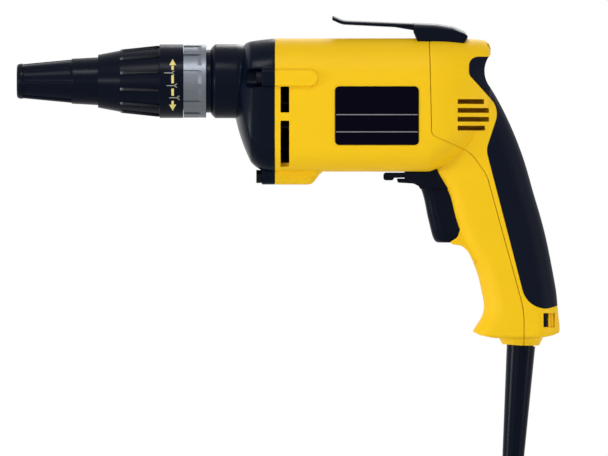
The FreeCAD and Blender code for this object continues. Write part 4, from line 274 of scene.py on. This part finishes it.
# %% Make the moulded finishes
GRAIN_SIZE = 0.45 * MM
GRAIN_DEPTH = 0.02 * MM
GRAIN_STRENGTH = 0.5
GRAIN_DETAIL = 3.0
CLOUD_SIZE = 40 * MM
CLOUD_SHADE = 0.3
SPECK_SHADE = 0.3
ROUGH_SPREAD = 0.2
RUBBER_LEVEL = 0.07
DOT_SHADE = 0.5
DOT_ROUGH = 0.15
DOT_STRENGTH = 0.6
SMUDGE_SIZE = 15 * MM
SMUDGE_SHADE = 0.3


def moulded(name, colour, shade, grain=GRAIN_SIZE, depth=GRAIN_DEPTH, rough=0.5, level=0.3):
    """Plastic, paint or ink: a fine even grain and a faint cloud in the colour."""
    made = Finish(name, colour, rough, level=level)
    cloud = made.noise(CLOUD_SIZE)
    speck = made.noise(grain, detail=GRAIN_DETAIL)
    made.tint(cloud * CLOUD_SHADE + speck * SPECK_SHADE, shade)
    made.put("Roughness", speck * ROUGH_SPREAD + (rough - ROUGH_SPREAD / 2))
    made.raise_by(speck, depth, GRAIN_STRENGTH)
    return made.material


def stippled(name, colour, shade, grain, depth, rough):
    """Rubber: close round dots and dull smudges."""
    made = Finish(name, colour, rough, level=RUBBER_LEVEL)
    dots = made.cells(grain)
    smudge = made.noise(SMUDGE_SIZE)
    made.tint(dots * DOT_SHADE + smudge * SMUDGE_SHADE, shade)
    made.put("Roughness", dots * DOT_ROUGH + rough)
    made.raise_by(1 - dots, depth, DOT_STRENGTH)
    return made.material


yellow_plastic = moulded("yellow_plastic", (254, 207, 18), (246, 190, 14), level=0.18)
black_plastic = moulded("black_plastic", (5, 12, 29), (2, 7, 19), rough=0.26, level=0.065)
painted_casting = moulded("painted_casting", (5, 14, 31), (2, 8, 21), 0.9 * MM, 0.03 * MM,
                          rough=0.26, level=0.065)
grip_rubber = stippled("grip_rubber", (10, 17, 34), (5, 10, 23), 0.8 * MM, 0.05 * MM, 0.45)
cord_rubber = stippled("cord_rubber", (9, 16, 32), (5, 10, 22), 0.5 * MM, 0.02 * MM, 0.4)
label_black = moulded("label_black", (3, 2, 18), (1, 1, 10), 0.3 * MM, 0.005 * MM,
                      rough=0.32, level=0.03)
print_yellow = moulded("print_yellow", (238, 224, 140), (222, 200, 104), rough=0.45)
print_white = moulded("print_white", (168, 168, 152), (120, 118, 100), rough=0.45)
print_grey = moulded("print_grey", (150, 150, 154), (124, 124, 130), rough=0.4)
floor_paint = moulded("floor_paint", (236, 236, 234), (228, 228, 226), 6 * MM, rough=0.6)
print("moulded finishes made")

# %% [markdown]
# ## Floor paint
# Where the camera or a reflection looks at it, the floor mixes its paint with an even white that
# brings it near the white of the world. The rest of the paint still takes the tool's shadow.

# %% Paint the floor
FLOOR_LIFT = 0.65
FLOOR_WHITE = (250, 250, 249)
floor_tree = floor_paint.node_tree
floor_out = floor_tree.nodes["Material Output"]
lift = floor_tree.nodes.new("ShaderNodeMath")
lift.operation = "MULTIPLY"
lift.inputs[1].default_value = FLOOR_LIFT
floor_tree.links.new(looked_at(floor_tree), lift.inputs[0])
glow = floor_tree.nodes.new("ShaderNodeEmission")
glow.inputs["Color"].default_value = linear(*FLOOR_WHITE)
paint_or_glow = floor_tree.nodes.new("ShaderNodeMixShader")
floor_tree.links.new(lift.outputs[0], paint_or_glow.inputs[0])
floor_tree.links.new(floor_tree.nodes["Principled BSDF"].outputs[0], paint_or_glow.inputs[1])
floor_tree.links.new(glow.outputs[0], paint_or_glow.inputs[2])
floor_tree.links.new(paint_or_glow.outputs[0], floor_out.inputs["Surface"])
floor.data.materials.append(floor_paint)
print("floor painted")

# %% [markdown]
# ## Metals and inner plastics
# Cast zinc shows a fine grain. Turned steel, bronze, copper and brass show fine bands along the
# tool, as a lathe leaves them. The plastics and the carbon of the inner pieces follow.

# %% Make the metal finishes
CAST_GRAIN = 0.7 * MM
CAST_DETAIL = 4.0
CAST_SHADE = 0.7
CAST_STRENGTH = 0.4
BAND_PITCH = 4 * MM
BAND_WOBBLE = 0.6
BAND_DEPTH = 0.01 * MM
BAND_STRENGTH = 0.3
BAND_SHADE = 0.4
SPOT_SIZE = 3 * MM
SPOT_SHADE = 0.3
SPOT_ROUGH = 0.15


def cast_metal(name, colour, shade, rough):
    """Metal from a mould, with a fine grain."""
    made = Finish(name, colour, rough, metal=1.0)
    grain = made.noise(CAST_GRAIN, detail=CAST_DETAIL)
    made.tint(grain * CAST_SHADE, shade)
    made.put("Roughness", grain * ROUGH_SPREAD + (rough - ROUGH_SPREAD / 2))
    made.raise_by(grain, GRAIN_DEPTH, CAST_STRENGTH)
    return made.material


def turned_metal(name, colour, shade, rough):
    """Metal from a lathe, with fine bands and soft spots."""
    made = Finish(name, colour, rough, metal=1.0)
    bands = made.add("ShaderNodeTexWave", {"bands_direction": "X"}, {
        "Vector": made.place, "Scale": 1 / BAND_PITCH, "Distortion": BAND_WOBBLE, "Detail": 2.0})
    spots = made.noise(SPOT_SIZE)
    made.tint(bands * BAND_SHADE + spots * SPOT_SHADE, shade)
    made.put("Roughness", spots * SPOT_ROUGH + rough)
    made.raise_by(bands, BAND_DEPTH, BAND_STRENGTH)
    return made.material


silver_metal = cast_metal("silver_metal", (122, 127, 135), (92, 97, 104), 0.4)
steel = turned_metal("steel", (150, 152, 156), (110, 112, 118), 0.3)
screw_steel = turned_metal("screw_steel", (62, 64, 68), (34, 35, 38), 0.35)
dark_steel = turned_metal("dark_steel", (30, 32, 38), (14, 15, 18), 0.4)
bronze = turned_metal("bronze", (168, 120, 62), (120, 82, 40), 0.4)
copper = turned_metal("copper", (190, 104, 62), (122, 60, 34), 0.35)
pin_brass = turned_metal("pin_brass", (205, 178, 108), (170, 140, 80), 0.28)
carbon = moulded("carbon", (40, 40, 42), (24, 24, 26), rough=0.6)
capacitor_plastic = moulded("capacitor_plastic", (70, 90, 140), (50, 66, 110), rough=0.4)
plunger_plastic = moulded("plunger_plastic", (200, 60, 40), (160, 44, 30), rough=0.45)
tie_plastic = moulded("tie_plastic", (32, 34, 38), (20, 22, 26), rough=0.5)
print("metals and inner plastics made")

# %% [markdown]
# ## Dress the CAD nodes
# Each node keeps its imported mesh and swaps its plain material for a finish. Stand-ins that follow
# further down take the finish of their node.

# %% Assign finishes
DRESS = {
    yellow_plastic: "motor_housing handle_cover",
    black_plastic: "nose_locator depth_collar trigger reverse_lever belt_hook switch_body "
                   "brush_holders cooling_fan plug_body cord_guard cord_clamp nosepiece_sleeve",
    painted_casting: "gear_case bearing_plate",
    grip_rubber: "rear_grip",
    cord_rubber: "cord_lead_in nosepiece_o_ring spindle_seal",
    label_black: "side_labels",
    silver_metal: "detent_ring",
    steel: "spindle bit_retaining_ring thrust_washer bit_holder bit_magnet driver_bit drive_gear "
           "clutch_spring gear_bearing front_motor_bearing rear_motor_bearing armature_shaft "
           "armature_core stator_core",
    screw_steel: "cover_screws cord_clamp_screws",
    dark_steel: "gear_case_screws belt_hook_screw",
    bronze: "spindle_bearing",
    copper: "armature_windings commutator field_coils",
    carbon: "carbon_brushes",
    capacitor_plastic: "suppression_capacitor",
    plunger_plastic: "switch_plunger",
    tie_plastic: "cord_tie",
    pin_brass: "plug_pins",
}
for finish, names in DRESS.items():
    for name in names.split():
        nodes[name].data.materials.clear()
        nodes[name].data.materials.append(finish)
print("dressed:", sum(len(names.split()) for names in DRESS.values()))

# %% [markdown]
# ## The cord
# Two and a half metres of 7.5 mm rubber cord hang from the guard. The picture shows none of it
# below the guard, so the spare length is wound into a tied coil under the frame. One smooth
# spline takes the route's points: the lead, the coil's turns and the short end with the plug. The
# route is in millimetres. The coil's points are swelled a little, because the spline cuts corners.

# %% Route of the cord
CORD_DIAMETER = 7.5 * MM
LEAD_ROUTE = ((15.26, 0, -236.37), (13.73, 0, -258.32), (18.40, -1.40, -281.90),
              (30.20, -4.15, -302.90), (44.30, -4.15, -317.00))
PLUG_ROUTE = ((67.59, 4.15, -352.05), (73.63, 4.15, -366.87), (78.29, 4.15, -384.26),
              (80.64, 4.15, -402.11), (80.64, 4.15, -418.10))
COIL_TURNS = 8.07
COIL_PITCH = 8.3
COIL_RADIUS = 46.0
COIL_CLIMB = 0.25
POINTS_PER_TURN = 16
SMALL_TURN = 0.001
half_turns = COIL_TURNS / 2
inner_radius = COIL_RADIUS - COIL_PITCH * half_turns / 2
swell = 1 / math.cos(math.pi / POINTS_PER_TURN)


def coil_spot(turn):
    """A point of the coil about its own centre: in along one layer, out along the other."""
    reach = abs(turn)
    if reach < COIL_CLIMB:
        reach = turn ** 2 / (2 * COIL_CLIMB) + COIL_CLIMB / 2
    climb = min(1, max(0, (turn + COIL_CLIMB) / (2 * COIL_CLIMB)))
    radius = inner_radius + COIL_PITCH * reach
    angle = -2 * math.pi * turn
    rise = COIL_PITCH * (climb * climb * (3 - 2 * climb) - 0.5)
    return Vector((radius * math.cos(angle), rise, radius * math.sin(angle)))


lead_end = Vector(LEAD_ROUTE[-1])
way_in = (lead_end - Vector(LEAD_ROUTE[-2])).normalized()
first_way = (coil_spot(SMALL_TURN - half_turns) - coil_spot(-half_turns)).normalized()
turned_by = first_way.rotation_difference(way_in)
coil_start = lead_end + way_in * CORD_DIAMETER / MM
coil_centre = coil_start - turned_by @ coil_spot(-half_turns)
steps = math.ceil(COIL_TURNS * POINTS_PER_TURN)
coil_route = []
for index in range(steps + 1):
    spot = coil_spot(half_turns * (2 * index / steps - 1))
    coil_route.append(coil_centre + turned_by @ Vector((spot.x * swell, spot.y, spot.z * swell)))
route = [Vector(spot) for spot in LEAD_ROUTE] + coil_route + [Vector(spot) for spot in PLUG_ROUTE]
print("cord points:", len(route))

# %% Make the cord
cord_curve = bpy.data.curves.new("mains_cord", "CURVE")
cord_curve.dimensions = "3D"
spline = cord_curve.splines.new("NURBS")
spline.points.add(len(route) - 1)
for point, spot in zip(spline.points, route):
    point.co = (*(spot * MM), 1)
spline.order_u = 3
spline.use_endpoint_u = True
spline.resolution_u = 6
cord_curve.bevel_depth = CORD_DIAMETER / 2
cord_curve.bevel_resolution = 5
cord_curve.use_fill_caps = True
cord_curve.materials.append(cord_rubber)
mains_cord = bpy.data.objects.new("mains_cord", cord_curve)
bpy.context.scene.collection.objects.link(mains_cord)
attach(mains_cord, "tool")
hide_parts("power_cord", "cord_coil", "plug_lead")
print("cord made")

# %% [markdown]
# ## How the small pieces are made
# Prints and trim are a fraction of a millimetre thick and follow the surface that carries them.
# Each one starts as flat primitives seen from the side, cut finely enough to bend. A shrinkwrap
# presses it onto its solid and a solidify gives it a body, so it sits there from any side.

# %% Helpers for new pieces


def begin():
    """Deselect everything, so that an operator acts on the new piece alone."""
    bpy.ops.object.select_all(action="DESELECT")


def joined(pieces):
    """Several new objects as one mesh, with their places in it."""
    begin()
    for piece in pieces:
        piece.select_set(True)
    bpy.context.view_layer.objects.active = pieces[0]
    if len(pieces) > 1:
        bpy.ops.object.join()
    bpy.ops.object.transform_apply(location=True, rotation=True, scale=True)
    return bpy.context.object


def use(piece, kind, **settings):
    """Add a modifier, set it and apply it."""
    modifier = piece.modifiers.new(kind.lower(), kind)
    for name, value in settings.items():
        setattr(modifier, name, value)
    bpy.context.view_layer.objects.active = piece
    bpy.ops.object.modifier_apply(modifier=modifier.name)


def cut_finely(piece, cuts):
    """Cut every edge of a piece this often, so that it can bend."""
    bpy.context.view_layer.objects.active = piece
    bpy.ops.object.mode_set(mode="EDIT")
    bpy.ops.mesh.select_all(action="SELECT")
    bpy.ops.mesh.subdivide(number_cuts=cuts)
    bpy.ops.object.mode_set(mode="OBJECT")


def lay_on(piece, node, towards, thickness):
    """Press a flat piece along Y onto a solid and give it its thickness there."""
    use(piece, "SHRINKWRAP", target=nodes[node], wrap_method="PROJECT", use_project_y=True,
        use_positive_direction=towards > 0, use_negative_direction=towards < 0,
        wrap_mode="ABOVE_SURFACE", offset=thickness / 2)
    use(piece, "SOLIDIFY", thickness=thickness, offset=0.0)


def settle(piece, name, finish, body):
    """Name a finished piece, dress it and let it ride on a body."""
    piece.name = name
    piece.data.name = name
    piece.data.materials.clear()
    piece.data.materials.append(finish)
    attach(piece, body)
    print(name, "has", len(piece.data.polygons), "faces")


def flat_bar(x, z, length, height, away, lean=0.0):
    """A flat rectangle that faces the side, away from the middle plane."""
    begin()
    bpy.ops.mesh.primitive_plane_add(size=1, location=(x, away, z),
                                     rotation=(math.pi / 2, lean, 0))
    bar = bpy.context.object
    bar.scale = (length, height, 1)
    return bar


# %% [markdown]
# ## Softened edges
# Moulds and castings have no knife edges. The two yellow shells, the gear case, the locator and
# the controls each get a stand-in: its loose triangles are merged, flat areas are cleared and every
# sharp edge is rounded by a small bevel, which catches the light as it does in the photograph.
# Each row below has the slot, the body that carries the piece and the width of the rounding.

# %% Round the moulded edges
SOFT_EDGES = {
    "motor_housing": ("yellow_plastic", "tool", 0.35 * MM),
    "handle_cover": ("yellow_plastic", "tool", 0.35 * MM),
    "gear_case": ("black_casting", "tool", 0.6 * MM),
    "nose_locator": ("black_plastic", "locator", 0.4 * MM),
    "trigger": ("black_plastic", "trigger", 0.6 * MM),
    "reverse_lever": ("black_plastic", "reverse_lever", 0.4 * MM),
    "switch_body": ("black_plastic", "tool", 0.3 * MM),
}
WELD = 0.02 * MM
FLAT = math.radians(1)
SHARP = math.radians(30)
for name, (slot, body, width) in SOFT_EDGES.items():
    soft = bpy.data.objects.new(name + "_soft", nodes[name].data.copy())
    bpy.context.scene.collection.objects.link(soft)
    begin()
    soft.select_set(True)
    bpy.context.view_layer.objects.active = soft
    bpy.ops.mesh.customdata_custom_splitnormals_clear()
    bpy.ops.object.mode_set(mode="EDIT")
    bpy.ops.mesh.select_all(action="SELECT")
    bpy.ops.mesh.remove_doubles(threshold=WELD)
    bpy.ops.mesh.select_all(action="SELECT")
    bpy.ops.mesh.dissolve_limited(angle_limit=FLAT)
    bpy.ops.object.mode_set(mode="OBJECT")
    use(soft, "BEVEL", width=width, segments=2, limit_method="ANGLE", angle_limit=SHARP,
        use_clamp_overlap=False)
    bpy.ops.object.shade_smooth_by_angle(angle=SHARP)
    use(soft, "WEIGHTED_NORMAL", keep_sharp=True)
    settle(soft, name + "_soft", nodes[name].data.materials[0], body)
    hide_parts(name)

# %% [markdown]
# ## Clutch spring
# The spring sits between the spindle's jaws and the drive gear, out of sight. When the spindle is
# pushed in, the spring gets shorter by the same way. Its stand-in is a plain copy with a mesh of
# its own.

# %% Copy the clutch spring
spring = bpy.data.objects.new("clutch_coil", nodes["clutch_spring"].data.copy())
bpy.context.scene.collection.objects.link(spring)
settle(spring, "clutch_coil", steel, "tool")
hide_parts("clutch_spring")
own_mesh(spring)

# %% [markdown]
# ## Marks and ribs of the depth collar
# The plain band of the collar carries a two-headed arrow, which says which way to turn it, and
# three small screws that sit deeper and deeper. They are drawn as plain signs, in pale yellow
# and off-white ink. Along its cone each rib gets a round bead. The front end of each bead has a
# pale painted highlight and a faint painted sheen along it, which make the row of bright dots.

# %% Print the arrow
MARK_AWAY = -30 * MM
INK = 0.08 * MM
ARROW_PIXEL = 172.9
ARROW_ENDS = (59.5, 110.8)
ARROW_DASHES = ((66.0, 70.2), (75.6, 83.5), (88.9, 95.9), (101.0, 105.0))
HEAD_RADIUS = 2.4 * MM
SHAFT_WIDTH = 1.5 * MM
ARROW_CUTS = 7
arrow_parts = []
for end, turn, inward in zip(ARROW_ENDS, (0, math.pi), (-1, 1)):
    arrow_x, tip_z = from_photo(ARROW_PIXEL, end)
    begin()
    bpy.ops.mesh.primitive_circle_add(vertices=3, radius=HEAD_RADIUS, fill_type="NGON",
                                      location=(arrow_x, MARK_AWAY, tip_z + inward * HEAD_RADIUS),
                                      rotation=(math.pi / 2, turn, 0))
    arrow_parts.append(bpy.context.object)
for top, bottom in ARROW_DASHES:
    dash_top = from_photo(ARROW_PIXEL, top)[1]
    dash_bottom = from_photo(ARROW_PIXEL, bottom)[1]
    arrow_parts.append(flat_bar(arrow_x, (dash_top + dash_bottom) / 2, SHAFT_WIDTH,
                                dash_top - dash_bottom, MARK_AWAY))
arrow = joined(arrow_parts)
cut_finely(arrow, ARROW_CUTS)
lay_on(arrow, "depth_collar", 1, INK)
settle(arrow, "collar_arrow", print_yellow, "collar")

# %% Print the three screws
SCREW_PIXELS = ((164.3, 73.2), (167.0, 85.9), (169.5, 98.0))
SHANK = (4.6 * MM, 0.5 * MM)
FLANK = (1.9 * MM, 0.55 * MM)
FLANK_LEAN = math.radians(38)
SCREW_CUTS = 5
screw_parts = []
for across, down in SCREW_PIXELS:
    start_x, screw_z = from_photo(across, down)
    screw_parts.append(flat_bar(start_x + SHANK[0] / 2, screw_z, *SHANK, MARK_AWAY))
    head_x = start_x + SHANK[0] + FLANK[0] * math.cos(FLANK_LEAN) / 2
    for sign in (-1, 1):
        rise = sign * FLANK[0] * math.sin(FLANK_LEAN) / 2
        screw_parts.append(flat_bar(head_x, screw_z + rise, *FLANK, MARK_AWAY, -sign * FLANK_LEAN))
screw_marks = joined(screw_parts)
cut_finely(screw_marks, SCREW_CUTS)
lay_on(screw_marks, "depth_collar", 1, INK)
settle(screw_marks, "collar_screw_marks", print_white, "collar")

# %% Make the finish of the collar's ribs, with its painted highlight
BEAD_FRONT = Vector((-219.7, 0, 18.95)) * MM
BEAD_BACK = Vector((-196.2, 0, 21.5)) * MM
# The tip length and the shares below set a painted highlight at each bead's front end and a faint
# painted sheen along the bead.
GLINT_TIP = 2.2 * MM
TIP_GLINT_SHARE = 0.6
STREAK_SHEEN_SHARE = 0.08
BEAD_SPECK_SHADE = 0.04
BEAD_GRAIN = 0.6 * MM
BEAD_ROUGH = 0.3


def painted_glint_plastic(name, colour, glint_colour):
    """Charcoal plastic with a painted highlight: pale at the front end of each rib, a faint sheen
    along it.
    """
    made = Finish(name, colour, BEAD_ROUGH, level=0.3)
    along = made.add("ShaderNodeSeparateXYZ", {}, {0: made.place}, output="X")
    glint_mask = made.add("ShaderNodeMapRange", {}, {
        "Value": along, "From Min": BEAD_FRONT.x + GLINT_TIP, "From Max": BEAD_FRONT.x})
    sheen_mask = made.add("ShaderNodeMapRange", {}, {
        "Value": along, "From Min": BEAD_BACK.x, "From Max": BEAD_FRONT.x})
    speck = made.noise(BEAD_GRAIN, detail=GRAIN_DETAIL)
    # Painted highlight at the front tip and painted sheen along the bead, over a fine real grain.
    made.tint(glint_mask * TIP_GLINT_SHARE + sheen_mask * STREAK_SHEEN_SHARE + speck * BEAD_SPECK_SHADE, glint_colour)
    made.put("Roughness", speck * ROUGH_SPREAD + (BEAD_ROUGH - ROUGH_SPREAD / 2))
    made.raise_by(speck, GRAIN_DEPTH, GRAIN_STRENGTH)
    return made.material


# The pale front ends of the ribs are a painted highlight.
painted_glint_ribs = painted_glint_plastic("painted_glint_ribs", (16, 21, 34), (196, 200, 208))
print("rib finish made")

# %% Raise the ribs of the collar
BEAD_RADIUS = 0.8 * MM
BEAD_SIDES = 16
BEAD_ROUND = 0.9 * BEAD_RADIUS
BEAD_SINK = 0.35 * MM
BEAD_COUNT = 12
BEAD_TURN = math.radians(15)
bead_way = BEAD_BACK - BEAD_FRONT
bead_middle = (BEAD_FRONT + BEAD_BACK) / 2 - Vector((0, 0, BEAD_SINK))
begin()
bpy.ops.mesh.primitive_cylinder_add(vertices=BEAD_SIDES, radius=BEAD_RADIUS,
                                    depth=bead_way.length, location=bead_middle,
                                    rotation=(0, math.atan2(bead_way.x, bead_way.z), 0))
beads = joined([bpy.context.object])
bpy.ops.object.mode_set(mode="EDIT")
bpy.ops.mesh.select_all(action="DESELECT")
bpy.ops.mesh.select_face_by_sides(number=4, type="GREATER")
bpy.ops.mesh.bevel(offset=BEAD_ROUND, segments=5, affect="EDGES")
bpy.ops.mesh.select_all(action="SELECT")
bpy.ops.transform.rotate(value=BEAD_TURN, orient_axis="X", center_override=(0, 0, 0))
bpy.ops.mesh.spin(steps=BEAD_COUNT - 1, dupli=True, angle=2 * math.pi * (1 - 1 / BEAD_COUNT),
                  center=(0, 0, 0), axis=(1, 0, 0))
bpy.ops.mesh.select_all(action="SELECT")
bpy.ops.mesh.normals_make_consistent(inside=False)
bpy.ops.object.mode_set(mode="OBJECT")
bpy.ops.object.shade_smooth()
settle(beads, "collar_beads", painted_glint_ribs, "collar")

# %% [markdown]
# ## Lines on the side plates
# The black plates are left without words. They keep two thin rules from edge to edge, the same
# on both sides of the tool.

# %% Draw the plates' lines
plate_low, plate_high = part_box("side_labels")
plate_middle = (plate_low + plate_high) / 2
RULE_PIXELS = (115.0, 132.2)
RULE_HEIGHT = 0.5 * MM
RULE_INSET = 0.5 * MM
RULE_CUTS = 3
rule_length = plate_high.x - plate_low.x - 2 * RULE_INSET
for side_name, sign in (("near", -1), ("far", 1)):
    away = sign * (plate_high.y + INK / 2)
    lines = joined([flat_bar(plate_middle.x, from_photo(0, down)[1], rule_length, RULE_HEIGHT, away)
                    for down in RULE_PIXELS])
    cut_finely(lines, RULE_CUTS)
    use(lines, "SOLIDIFY", thickness=INK, offset=0.0)
    settle(lines, "plate_lines_" + side_name, print_grey, "tool")

# %% [markdown]
# ## Heel windows
# Low on the handle a small window shows a dark slot and a row of fine upright ribs. The dark of
# the slot is painted shade: a thin black plate on the floor of the window. The ribs stand on the
# floor of the window, which CAD has cut.

# %% Fill the windows
WINDOW_PIXELS = ((543.2, 313.4), (554.2, 326.8))
# Share of the window's width that the painted shade takes; the ribs fill the rest.
SHADED_SHARE = 0.36
RIB_COUNT = 5
RIB_FILL = 0.55
SHADE_PLATE_THICKNESS = 0.4 * MM
SHADE_PLATE_CUTS = 8
RIB_STAND = 1.3 * MM
RIB_CUTS = 5
left_x, top_z = from_photo(*WINDOW_PIXELS[0])
right_x, bottom_z = from_photo(*WINDOW_PIXELS[1])
window_z = (top_z + bottom_z) / 2
shaded_length = (right_x - left_x) * SHADED_SHARE
rib_pitch = (right_x - left_x - shaded_length) / RIB_COUNT
for side_name, sign in (("near", -1), ("far", 1)):
    away = -sign * MARK_AWAY
    # The thin black plate is painted shade where the slot lies in the window.
    shade_plate = joined([flat_bar(left_x + shaded_length / 2, window_z, shaded_length,
                                  top_z - bottom_z, away)])
    cut_finely(shade_plate, SHADE_PLATE_CUTS)
    lay_on(shade_plate, "handle_cover", -sign, SHADE_PLATE_THICKNESS)
    settle(shade_plate, "heel_shade_plate_" + side_name, black_plastic, "tool")
    ribs = []
    for index in range(RIB_COUNT):
        rib_x = left_x + shaded_length + rib_pitch * (index + 0.5)
        ribs.append(flat_bar(rib_x, window_z, rib_pitch * RIB_FILL, top_z - bottom_z, away))
    heel_ribs = joined(ribs)
    cut_finely(heel_ribs, RIB_CUTS)
    lay_on(heel_ribs, "handle_cover", -sign, RIB_STAND)
    settle(heel_ribs, "heel_ribs_" + side_name, yellow_plastic, "tool")
